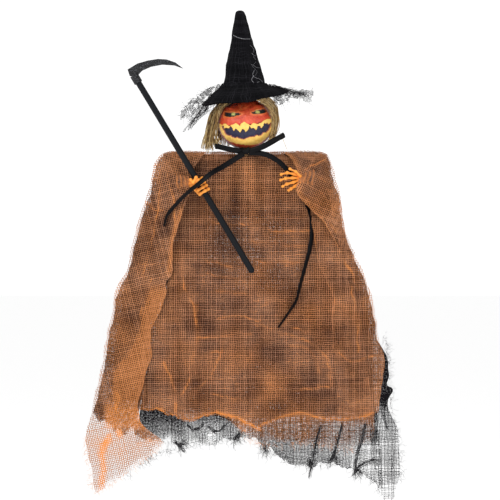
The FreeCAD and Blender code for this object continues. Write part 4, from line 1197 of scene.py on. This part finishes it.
def build_brim():
    """The felt brim, with its real thickness."""
    share, turn = round_grid(44, 180)
    ripple = 1.6 * np.sin(3 * turn + 0.6) + 1.0 * np.sin(7 * turn)
    radius = BRIM_HOLE + (BRIM_RADIUS + ripple - BRIM_HOLE) * share
    x, y = HAT_X + radius * np.cos(turn), HAT_Y + radius * np.sin(turn)
    z = brim_height(x, y, radius) + 0.8 * wobble(turn * 5, share * 4, 133)
    mesh = grid_mesh("hat_brim_felt", grid_points(x, y, z), grid_points(turn * 60, radius), wrap=True)
    brim = add_object("hat_brim_felt", mesh, hat_felt, "head")
    solidify(brim, BRIM_THICKNESS)
    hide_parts("hat_brim")


def build_hat_roll():
    """The gathered band round the foot of the cone."""
    share, turn = round_grid(26, 180)
    swell = 3.4 + 1.5 * np.sin(2 * turn + 1.0) + 1.2 * wobble(turn * 3, share * 3, 135)
    radius = 41.5 + swell * np.sin(math.pi * share) + 2.5 * (1 - share)
    z = 116 + 22 * share + 2.0 * np.sin(turn + 0.5) + 0.8 * wobble(turn * 8, share * 9, 136)
    points = grid_points(-2 + radius * np.cos(turn), HAT_Y + radius * np.sin(turn), z)
    mesh = grid_mesh("hat_roll", points, grid_points(turn * 42, 30 * share), wrap=True)
    band = add_object("hat_roll", mesh, hat_felt, "head")
    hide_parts("hat_band")


def build_hat_gauze():
    """The torn gauze that lies over the brim and hangs past it in points."""
    share, turn = round_grid(70, 320)
    reach = (86 + 24 * np.clip(np.cos(turn), 0, 1) ** 3 + 32 * np.clip(-np.cos(turn), 0, 1) ** 3
             - 6 * np.abs(np.sin(turn)) + 7 * wobble(turn * 3.4, 0 * turn, 141)
             + 4 * wobble(turn * 11, 0 * turn, 142))
    radius = 42 + (reach - 42) * share
    x, y = HAT_X + radius * np.cos(turn), HAT_Y + 0.9 * radius * np.sin(turn)
    over = ramp(radius, 78, 40.0)
    z = brim_height(x, y, np.minimum(radius, 84)) + 3.0 + 1.2 * wobble(x / 12, y / 12, 143)
    z = z - over * (16 + 34 * np.clip(-np.cos(turn), 0, 1) - 8 * np.clip(np.cos(turn), 0, 1))
    z = z + 2.5 * over * wobble(turn * 6, share * 6, 144)
    mesh = grid_mesh("hat_overlay", grid_points(x, y, z), grid_points(x, y + 0.6 * z), wrap=True)
    cloth_attributes(mesh, radius.shape, fold=0, fray=np.clip((share - 0.7) * 1.2, 0, 0.4))
    overlay = add_object("hat_overlay", mesh, torn_gauze, "head")
    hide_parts("hat_gauze")


def brim_whisker(dice, angle, low, high):
    """One thread end that curls away from the brim's edge, with its own throw of the dice."""
    near = dice.uniform(76, 108 if abs(math.cos(angle)) > 0.8 else 84)
    x, y = HAT_X + near * math.cos(angle), HAT_Y + 0.9 * near * math.sin(angle)
    on_left = math.cos(angle) < 0
    z = float(brim_height(x, y, min(near, 84))) + 3
    z -= max(0, near - 78) / 40.0 * (50 if on_left else 8)
    side = -1 if on_left else 1
    away = np.array([side * dice.uniform(0.5, 1.0), dice.uniform(-0.3, 0.3),
                     dice.uniform(-1.0, 0.1) if on_left else dice.uniform(-0.7, 0.5)])
    length = dice.uniform(low, high) * 0.7
    steps = np.linspace(0, 1, 7)[:, None]
    curl = np.array([0, dice.uniform(-4, 4), dice.uniform(-7, 3)])
    return np.array([x, y, z]) + away * length * steps + curl * steps ** 2


def build_hat_threads():
    """Thread ends along the brim's edge: long at the right and left, short at the front."""
    dice = random.Random(5)
    paths = []
    fans = (((-0.35, 0.25), 70, 14, 34), ((2.7, 3.7), 90, 10, 24), ((-2.6, -0.5), 40, 4, 9))
    for angles, count, low, high in fans:
        for _ in range(count):
            paths.append(brim_whisker(dice, dice.uniform(*angles), low, high))
    whiskers = tubes("hat_threads", paths, [0.28] * len(paths), black_thread)
    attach(whiskers, "head")


def crown_front(x, z):
    """The depth of the crown's front surface at a point of its outline."""
    radii, heights = zip(*CROWN_PROFILE)
    reach = np.interp(z - CROWN_Z, heights, radii) + 1.3
    aside = x - (CROWN_X + CROWN_LEAN * (z - CROWN_Z))
    return HAT_Y - math.sqrt(max(reach ** 2 - aside ** 2, 0.0))


def build_pale_threads():
    """The few pale threads that lie on the front of the crown, each with its radius."""
    routes = [([(-22.5, 227), (-16, 223), (-8, 220), (2, 219), (10, 220)], 0.40),
              ([(17, 160), (14, 152), (18, 147), (27, 144), (33, 139)], 0.32),
              ([(12, 193), (18, 188), (25, 189)], 0.18),
              ([(10, 172), (22, 166), (30, 168)], 0.2),
              ([(16, 150), (12, 142), (18, 136), (26, 139)], 0.42),
              ([(9, 208), (16, 200), (14, 190), (20, 180)], 0.15),
              ([(20, 176), (14, 168), (22, 158), (18, 150)], 0.15)]
    wisps = []
    for route, _ in routes:
        wisps.append(np.array([(x, crown_front(x, z) - 0.6, z) for x, z in curve_through(route, 30)]))
    radii = [radius for _, radius in routes]
    pale = tubes("hat_pale_threads", wisps, radii, white_thread, taper=0.8)
    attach(pale, "head")


# torn gauze at each side of the brim: its upper edge, its lower edge and its flat size
LACE = {
    "hat_lace_left": ([(-40, 138), (-60, 132), (-80, 121), (-99, 108), (-115, 92), (-122, 74)],
                      [(-44, 112), (-60, 104), (-76, 96), (-84, 88), (-92, 80), (-100, 68)],
                      (0.085, 0.045)),
    "hat_lace_right": ([(44, 137), (66, 131), (88, 124), (108, 126), (127, 122)],
                       [(48, 116), (60, 97), (76, 104), (92, 110), (122, 100)], (0.085, 0.03))}


def build_lace():
    """Torn gauze that stands out from the brim at the left and the right."""
    rows, cols = 40, 110
    u = np.linspace(0, 1, cols)[None, :]
    v = np.linspace(0, 1, rows)[:, None]
    for number, (name, (upper, lower, flat)) in enumerate(LACE.items()):
        top, bottom = curve_through(upper, cols), curve_through(lower, cols)
        x = top[None, :, 0] * (1 - v) + bottom[None, :, 0] * v
        z = top[None, :, 1] * (1 - v) + bottom[None, :, 1] * v
        y = LACE_DEPTH - 7 * np.sin(math.pi * v) + 4 * wobble(x / 16, z / 12, 171 + number)
        x = x + 1.6 * wobble(x / 5, z / 5, 173 + number)
        z = z + 1.6 * wobble(x / 5, z / 5, 175 + number)
        points = grid_points(x, y, z)
        mesh = grid_mesh(name, points, cloth_lengths(points))
        fray = np.clip((u - 0.6) * 0.7 + (v - 0.5) * 0.2, 0, 0.4)
        cloth_attributes(mesh, x.shape, fold=0, fray=fray)
        made = add_object(name, mesh, torn_gauze, "head")


def build_lace_threads():
    dice = random.Random(9)
    paths = []
    for upper, lower, _ in LACE.values():
        for _ in range(110):
            along_it, down = dice.uniform(0.15, 1.0), dice.uniform(0, 1)
            a = curve_through(upper, 60)[int(along_it * 59)]
            b = curve_through(lower, 60)[int(along_it * 59)]
            start = a * (1 - down) + b * down
            side = -1 if start[0] < 0 else 1
            away = np.array([side * dice.uniform(-0.4, 1.0), dice.uniform(-0.3, 0.3),
                             dice.uniform(-1, 0.5)])
            steps = np.linspace(0, 1, 8)[:, None]
            curl = np.array([dice.uniform(-6, 6), dice.uniform(-3, 3), dice.uniform(-6, 6)])
            length = dice.uniform(6, 20)
            if abs(start[0] + away[0] * length) > LACE_REACH:
                length *= 0.3
            paths.append(np.array([start[0], -28, start[1]]) + away * length * steps + curl * steps ** 2)
    made = tubes("hat_lace_threads", paths, [0.3] * len(paths), black_thread)
    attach(made, "head")


def build_pumpkin():
    """A carved foam pumpkin with its painted face."""
    rows, cols = 330, 360
    slope = np.linspace(0.002, math.pi - 0.002, rows)[:, None]
    turn = 2 * math.pi * np.arange(cols)[None, :] / cols
    dx, dy, dz = np.sin(slope) * np.cos(turn), -np.cos(slope) + 0 * turn, np.sin(slope) * np.sin(turn)
    side_turn = np.arctan2(dx, -dy)
    ribs = 1.0 - 0.022 * np.abs(np.sin(4.5 * side_turn)) ** 0.6 * np.clip(1 - dz ** 2, 0, 1)
    x, z = HEAD_X + HEAD_WIDTH * dx * ribs, HEAD_Z + HEAD_HEIGHT * dz * ribs
    upper_lip = [(-40, 61), (-34, 61), (-30, 57), (-23, 59), (-17, 61), (-10, 57), (-2, 64), (4, 60),
                 (9, 57), (15, 62), (21, 60), (28, 62), (34, 67), (40, 70), (46, 71), (50, 70), (50, 65),
                 (46, 63), (44, 60), (41, 63), (38, 60), (35, 62), (33, 57), (30, 52), (27, 57), (23, 56),
                 (20, 48), (16, 52), (11, 52), (8, 56), (5, 49), (2, 44), (-2, 49), (-5, 50), (-9, 44),
                 (-12, 47), (-17, 51), (-21, 47), (-24, 53), (-27, 57), (-30, 52), (-33, 53), (-39, 52)]
    jaw = [(-49, 64), (-47, 52), (-43, 43), (-36, 35), (-28, 29), (-17, 25), (-6, 23), (5, 22), (17, 23),
           (27, 26), (35, 32), (42, 39), (47, 48), (50, 58), (49, 66), (44, 66), (30, 60), (0, 56),
           (-30, 56), (-44, 60)]
    mouth_floor = [(-44, 57), (-38, 46), (-34, 40), (-27, 38), (-20, 34), (-16, 35), (-12, 34), (-7, 32),
                   (-2, 32), (4, 34), (8, 36), (11, 36), (16, 36), (22, 40), (26, 38), (29, 39), (34, 44),
                   (40, 46), (44, 50), (47, 56), (49, 64), (44, 68), (20, 60), (0, 58), (-30, 58)]
    left_eye = [(-38.5, 84.5), (-36, 82.7), (-22, 81.5), (-12, 80), (-6.6, 78.2), (-12, 76.5),
                (-21, 73.4), (-30, 73.5), (-38, 75)]
    right_eye = [(11, 80.6), (17, 82.7), (21, 85.7), (28, 86.8), (34, 89.4), (39.6, 86.3), (38.4, 82.7),
                 (30, 79), (21, 78.4), (14, 78)]
    paint_x = x + 0.7 * wobble(x / 3.0, z / 3.0, 151)
    paint_z = z + 0.7 * wobble(x / 3.0 + 20, z / 3.0, 152)
    front = np.clip(-dy * 8, 0, 1)

    def painted(outline, edge=0.9):
        return front * np.clip(inside(paint_x, paint_z, outline) / edge + 0.5, 0, 1)

    lips_up, lips_low, cavity = painted(upper_lip), painted(jaw), painted(mouth_floor)
    mouth = np.clip(cavity - lips_up, 0, 1)
    lips = np.clip(lips_up + lips_low - mouth, 0, 1) * (1 - mouth)
    eyes = np.maximum(painted(left_eye), painted(right_eye))
    pupils = front * (np.exp(-((paint_x + 22.2) / 3.6) ** 4 - ((paint_z - 78.8) / 2.6) ** 4)
                      + np.exp(-((paint_x - 23.6) / 4.0) ** 4 - ((paint_z - 82.7) / 2.8) ** 4))
    around = np.maximum(np.exp(-(np.minimum(inside(x, z, left_eye), 0) / 2.6) ** 2),
                        np.exp(-(np.minimum(inside(x, z, right_eye), 0) / 2.6) ** 2)) * front
    centre_gap = np.hypot((x - HEAD_X) / 50.5, (z - HEAD_Z) / 45.5)
    rim = np.clip((centre_gap - 0.93) * 10, 0, 1) * (0.4 + 0.6 * ramp(-z, -70, 40))
    rim = rim + (dy > 0.25) * 0.25
    # pink: a patch of paint on the nose, then painted highlights above the upper lip and left of the lower
    # lip
    pink_and_highlight = 0.75 * front * np.exp(-((x - 4) / 9) ** 2 - ((z - 68) / 12) ** 2)
    pink_and_highlight = np.maximum(pink_and_highlight, 0.5 * front * np.exp(-((x + 22) / 14) ** 2 - ((z - 66) / 4.5) ** 2))
    pink_and_highlight = np.maximum(pink_and_highlight, 0.6 * front * np.exp(-((x + 31) / 7) ** 2 - ((z - 31) / 3.5) ** 2))
    relief = 1.3 * lips + 2.4 * front * np.exp(-((x - 4) / 8) ** 2 - ((z - 67) / 12) ** 2)
    relief = relief - 2.2 * mouth - 1.8 * eyes + 0.9 * pupils + 1.0 * around * (1 - eyes)
    brow = near_line(x, z, [(-42, 92), (-22, 88), (-5, 82)], 4.0)
    brow = brow + near_line(x, z, [(10, 86), (26, 94), (42, 96)], 4.0)
    relief = relief + 1.6 * front * brow + 0.5 * wobble(x / 5.0, z / 5.0, 153)
    relief = relief + 0.25 * wobble(x / 1.8, z / 1.8, 154)
    reach = 1 + relief / 50.0
    points = grid_points(HEAD_X + (x - HEAD_X) * reach, HEAD_Y + HEAD_WIDTH * dy * ribs * reach,
                         HEAD_Z + (z - HEAD_Z) * reach)
    mesh = grid_mesh("pumpkin", points, wrap=True)
    glow = 0.55 * around * (1 - eyes)
    for key, values in (("lips", lips), ("mouth", mouth), ("eyes", eyes), ("pupils", pupils),
                        ("rim", rim), ("pink_and_highlight", pink_and_highlight), ("glow", glow)):
        float_attribute(mesh, key, np.clip(values, 0, 1))
    made = add_object("pumpkin", mesh, pumpkin, "head")
    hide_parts("pumpkin_head")


def head_surface(x, z, lift):
    """The depth, on the front of the head, of a point that lies a little above its surface."""
    share = 1 - ((x - HEAD_X) / (HEAD_WIDTH + lift)) ** 2 - ((z - HEAD_Z) / (HEAD_HEIGHT + lift)) ** 2
    return HEAD_Y - (HEAD_WIDTH + lift) * math.sqrt(max(share, 0.0))


def lock_of_hair(name, node, lines, count, spread, radius, seed, on_head=False):
    """Raffia strands that each follow one of the given lines with their own waver."""
    dice = random.Random(seed)
    paths, radii, shades = [], [], []
    for _ in range(count):
        line = np.array(dice.choice(lines), float)
        offset = np.array([dice.gauss(0, spread), dice.gauss(0, spread), dice.gauss(0, spread * 0.5)])
        start, end = dice.uniform(0, 0.12), dice.uniform(0.8, 1.0)
        path = curve_through(line, 40)
        first = int(start * 40)
        path = path[first:max(int(end * 40), first + 6)]
        steps = np.linspace(0, 1, len(path))
        phase, turns = dice.uniform(0, 6.28), dice.uniform(0.6, 2.2)
        waver = spread * 0.45 * np.sin(phase + turns * 6.28 * steps)
        path = path + offset + waver[:, None] * np.array([1, 0.6, 0.2])
        if on_head:
            depth = [head_surface(p[0], p[2], 1.5 + 2.5 * dice.random()) for p in path]
            path[:, 1] = np.minimum(path[:, 1], depth)
        paths.append(path)
        radii.append(radius * dice.uniform(0.6, 1.3))
        shades.append(dice.random())
    made = tubes(name, paths, radii, raffia, sides=4, taper=0.55, shades=shades)
    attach(made, "head")
    if node:
        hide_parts(node)


def build_hair():
    """Raffia in locks at the left, the right, the forehead and the back."""
    left = [
        [(-34, -44, 104), (-50, -34, 92), (-60, -28, 66), (-64, -26, 40), (-70, -24, 8)],
        [(-38, -40, 102), (-56, -30, 88), (-66, -26, 60), (-70, -24, 30), (-74, -22, 10)],
        [(-30, -46, 104), (-46, -38, 94), (-54, -32, 66), (-56, -30, 42), (-54, -30, 16)],
        [(-40, -38, 100), (-60, -24, 80), (-70, -20, 50), (-72, -18, 20), (-68, -18, 12)],
        [(-36, -42, 103), (-50, -34, 90), (-56, -34, 60), (-62, -32, 30), (-60, -30, 9)],
        [(-42, -34, 98), (-58, -26, 84), (-68, -24, 52), (-76, -22, 24), (-79, -20, 12)]]
    lock_of_hair("hair_strands_left", "hair_left", left, count=150, spread=2.2, radius=0.75, seed=161)
    right = [
        [(28, -46, 112), (42, -42, 106), (54, -34, 93), (58, -30, 70), (55, -28, 48), (46, -28, 28)],
        [(32, -44, 113), (46, -38, 103), (56, -30, 84), (56, -28, 60), (50, -28, 38)],
        [(36, -40, 112), (50, -34, 98), (54, -30, 78), (53, -30, 56), (47, -30, 34)],
        [(28, -40, 108), (43, -36, 98), (51, -32, 80), (52, -30, 58), (48, -30, 38), (40, -30, 24)]]
    lock_of_hair("hair_strands_right", "hair_right", right, count=170, spread=2.0, radius=0.7, seed=162)
    fringe = [
        [(22, -56, 110), (34, -54, 108), (46, -48, 98), (54, -36, 84)],
        [(24, -56, 106), (36, -54, 103), (47, -46, 92), (54, -34, 78)],
        [(20, -58, 112), (32, -56, 110), (46, -48, 102), (57, -34, 88)],
        [(30, -54, 101), (40, -50, 97), (49, -42, 88), (55, -30, 74)]]
    lock_of_hair("hair_strands_fringe", "hair_fringe", fringe, count=170, spread=2.4, radius=0.65,
                 seed=163, on_head=True)
    crown = [[(-12, -52, 110), (-26, -48, 104), (-40, -40, 96), (-52, -32, 82)],
             [(-16, -50, 108), (-32, -44, 99), (-45, -36, 88), (-52, -30, 70)]]
    lock_of_hair("hair_strands_crown", None, crown, count=80, spread=2.0, radius=0.65, seed=167)
    back = [
        [(-30, 40, 104), (-34, 44, 84), (-36, 45, 50), (-34, 42, 20)],
        [(-12, 44, 106), (-14, 47, 80), (-14, 47, 46), (-12, 44, 22)],
        [(8, 44, 106), (8, 47, 80), (8, 47, 48), (8, 44, 24)],
        [(26, 42, 106), (28, 46, 80), (28, 46, 50), (24, 43, 26)],
        [(40, 36, 100), (42, 40, 80), (42, 40, 56), (36, 38, 34)],
        [(-44, 32, 92), (-47, 34, 70), (-48, 34, 40), (-44, 30, 22)]]
    lock_of_hair("hair_strands_back", "hair_back", back, count=240, spread=4.0, radius=0.85, seed=164)
    flyaway = [[(61, -26, 50), (68, -26, 38), (74, -27, 22), (81, -28, 6)]]
    lock_of_hair("hair_loose_strand", None, flyaway, count=2, spread=0.4, radius=0.5, seed=165)
    low_left = [[(-52, -28, 36), (-50, -33, 26), (-46, -36, 19)],
                [(-60, -26, 32), (-56, -30, 22), (-53, -32, 17)]]
    lock_of_hair("hair_strands_low", None, low_left, count=26, spread=2.0, radius=0.7, seed=166)


# ------------------------------------------------------------------ hands


def bone(shape, start, end, thick, thin):
    """A finger bone: wide at both ends and waisted in the middle."""
    start, end = Vector(start), Vector(end)
    for share in np.linspace(0, 1, 9):
        girth = thin + (thick - thin) * abs(2 * share - 1) ** 1.6
        place = start.lerp(end, float(share))
        bmesh.ops.create_icosphere(shape, subdivisions=2, radius=girth * MM,
                                   matrix=Matrix.Translation(place * MM))


def hand_object(name, node, body, shape):
    """Fuse a hand's bones into one skin."""
    mesh = bpy.data.meshes.new(name)
    shape.to_mesh(mesh)
    shape.free()
    made = add_object(name, mesh, hand_plastic)
    remesh = made.modifiers.new("skin", "REMESH")
    remesh.mode = "VOXEL"
    remesh.voxel_size = HAND_VOXEL * MM
    soften = made.modifiers.new("soften", "SMOOTH")
    soften.iterations = 3
    settle(made)
    made.data.polygons.foreach_set("use_smooth", np.ones(len(made.data.polygons), bool))
    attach(made, body)
    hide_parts(node)


def build_left_hand():
    """A fist: four fingers bent round the scythe's handle, and a thumb across them."""
    shape = bmesh.new()
    axis, out, front = Vector(SCYTHE_AXIS), Vector(SCYTHE_ASIDE), Vector((0, -1, 0))
    grip = Vector(SCYTHE_TOP) + axis * GRIP_BELOW_TOP
    for number in range(4):
        centre = grip + axis * ((number - 1.5) * FINGER_PITCH)
        radius = 10.2 - 0.2 * number
        ring = []
        for angle in (196, 138, 74, 14, -38):
            bend = math.radians(angle)
            ring.append(centre + (out * math.cos(bend) + front * math.sin(bend)) * radius)
        ring[1] = ring[1] - out * 1.5
        for start, end in zip(ring[:-1], ring[1:]):
            bone(shape, start, end, 3.5, 2.5)
        wrist = Vector((-103, HAND_DEPTH - 1.5 * (1.5 - number), -48 + 2.5 * (1.5 - number)))
        bone(shape, wrist, ring[0], 3.6, 2.6)
    bone(shape, (-106, -70, -48), (-99, -70, -48), 6.0, 5.6)
    joint = grip - out * 8 + front * 10 - axis * 13
    tip = grip + out * 1 + front * 10.5 - axis * 18
    bone(shape, (-100, -76, -44), joint, 3.8, 2.8)
    bone(shape, joint, tip, 3.6, 2.6)
    hand_object("left_skeleton_hand", "hand_left", "hand_left", shape)


def build_right_hand():
    """A half-open hand: four spread fingers, and a thumb above them."""
    shape = bmesh.new()
    knuckles = [(89, -78, -33), (87, -79, -40.5), (88, -78, -48.5), (91, -76, -56)]
    middles = [(77, -86, -31), (74, -87, -41.5), (76, -86, -52), (84, -84, -60.5)]
    tips = [(66, -83, -34), (65, -84, -44.5), (69, -83, -56), (80, -79, -63)]
    for number, (knuckle, middle, tip) in enumerate(zip(knuckles, middles, tips)):
        wrist = (103, -71, -42 + 2.6 * (1.5 - number))
        bone(shape, wrist, knuckle, 3.5, 2.2)
        bone(shape, knuckle, middle, 3.4, 2.1)
        bone(shape, middle, tip, 2.9, 1.5)
    bone(shape, (107, -70, -42), (100, -70, -42), 6.0, 5.4)
    bone(shape, (101, -76, -37), (93, -83, -29), 3.2, 2.1)
    bone(shape, (93, -83, -29), (82, -85, -24), 2.9, 1.6)
    hand_object("right_skeleton_hand", "hand_right", "hand_right", shape)


# ------------------------------------------------------------------ ribbon


def build_knot():
    """The knot, and the ring of ribbon that goes from it round the neck."""
    v, turn = round_grid(26, 48)
    pinch = 1 - 0.22 * np.cos(math.pi * (2 * v - 1)) + 0.05 * np.sin(9 * turn + 8 * v)
    x = -6 + 13 * v + 0.8 * np.sin(3 * turn)
    points = grid_points(x, -51.5 + 4.6 * pinch * np.cos(turn), 9.5 + 6.6 * pinch * np.sin(turn))
    mesh = grid_mesh("bow_knot", points, grid_points(13 * v, turn * 5.6), wrap=True)
    knot = add_object("bow_knot", mesh, ribbon_satin, "robe")
    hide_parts("ribbon_knot")
    v = round_grid(8, 48)[0]
    crinkle = 1 + 0.025 * np.sin(15 * turn)
    height = 6.0 - 2.4 * np.sin(turn) + 0.3 * np.sin(6 * turn)
    points = grid_points(15 * crinkle * np.cos(turn), -26 + 21 * crinkle * np.sin(turn),
                         8.6 + height * v)
    mesh = grid_mesh("bow_neck_ring", points, grid_points(4 * v, turn * 18), wrap=True)
    ring = add_object("bow_neck_ring", mesh, ribbon_satin, "robe")
    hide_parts("ribbon_neck_ring")


FRONT = (0, -1, 0)
BACK = (0, 1, 0)


def build_bow():
    """Two flattened loops; each goes out in front, turns over and comes back behind."""
    left = [(-4, -53, 9), (-28, -58, 13), (-48, -57, 18), (-55, -52, 19), (-48, -47, 18), (-26, -46, 13),
            (-4, -49, 9)]
    left_facing = [FRONT, FRONT, (-0.5, -0.8, 0), (-1, 0, 0), (-0.5, 0.8, 0), BACK, BACK]
    right = [(6, -53, 9), (30, -57, 17), (54, -57, 30), (69, -54, 38), (72, -50, 40), (66, -46, 37),
             (34, -46, 19), (6, -49, 9)]
    right_facing = [FRONT, FRONT, FRONT, (0.5, -0.8, 0.2), (0.9, 0, 0.4), (0.4, 0.9, 0.2), BACK, BACK]
    loops = (("left", left, left_facing, 0.115), ("right", right, right_facing, 0.16))
    for word, line, facing, length in loops:
        made = ribbon_strip("bow_" + word, line, facing, LOOP_SAG)
        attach(made, "robe")
        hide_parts("bow_loop_" + word)


def build_left_tail():
    """From the knot, in front of the scythe's handle and the left hand, to the left wing."""
    line = [(-3, -57, 5), (-22, -62, -7), (-42, -72, -20), (-63, -87, -33), (-84, -91, -51),
            (-100, -88, -63), (-118, -72, -79), (-134, -60, -96), (-145, -52, -110), (-150, -49, -128)]
    facing = [FRONT, (0.3, -1, 0.1), (0.2, -1, 0.5), (0, -1, 0.6), (0, -1, 0.8), (-0.9, -0.8, 0.4),
              (-1, -0.3, 0)]
    tail = ribbon_strip("tail_left", line, facing, TAIL_SAG, samples=110)
    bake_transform(tail)
    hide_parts("ribbon_tail_left", "ribbon_tail_left_end")


def build_right_tail():
    """From the knot down the robe's front, a little in front of its folds."""
    line = [(7, -55, 7), (33, -53, 5), (56, -52, -5), (78, -50, -25), (96, -45, -54), (112, -41, -84)]
    for x, z in ((122, -110), (124, -139), (119, -173), (111, -204), (102, -238), (95, -265), (85, -282),
                 (61, -317)):
        cloth = float(loose_folds(np.array([[x]], float), np.array([[z]], float))[0, 0])
        line.append((x, cloth - RIBBON_LIFT, z))
    facing = [FRONT, (0.2, -0.8, 0.8), (1, -0.9, 0.4), (1, -0.55, 0), (1, -0.5, 0), (1, -0.45, -0.3),
              (1, -0.4, -0.4)]
    tail = ribbon_strip("tail_right", line, facing, TAIL_SAG, samples=140)
    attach(tail, "robe")
    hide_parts("ribbon_tail_right", "ribbon_tail_right_end")


# ------------------------------------------------------------------ putting it together


def finish_cad():
    """Better materials on the CAD nodes that stay."""
    steel_nodes = ["hanger_plate", "hanger_screw_left", "hanger_screw_right", "neck_rod",
                   "pivot_bolt_left", "pivot_bolt_right", "pivot_cap_left", "pivot_cap_right"]
    looks = [(plain_wood, ["neck_block", "shoulder_bar"]),
             (plain_steel, steel_nodes),
             (wire_paint, ["arm_left", "arm_right"]),
             (handle_plastic, ["scythe_handle_upper", "scythe_handle_lower"]),
             (blade_glitter, ["scythe_blade"])]
    for material, nodes in looks:
        for node in nodes:
            for held in bpy.data.objects[node].material_slots:
                held.material = material


build_front()
build_front_lining()
build_back()
build_back_lining()
build_left_wing()
build_right_sleeve()
build_right_wing()
build_hem_threads()
build_shoulders()
build_cuffs()
build_crown()
build_brim()
build_hat_roll()
build_hat_gauze()
build_hat_threads()
build_pale_threads()
build_lace()
build_lace_threads()
build_pumpkin()
build_hair()
build_left_hand()
build_right_hand()
build_knot()
build_bow()
build_left_tail()
build_right_tail()
finish_cad()
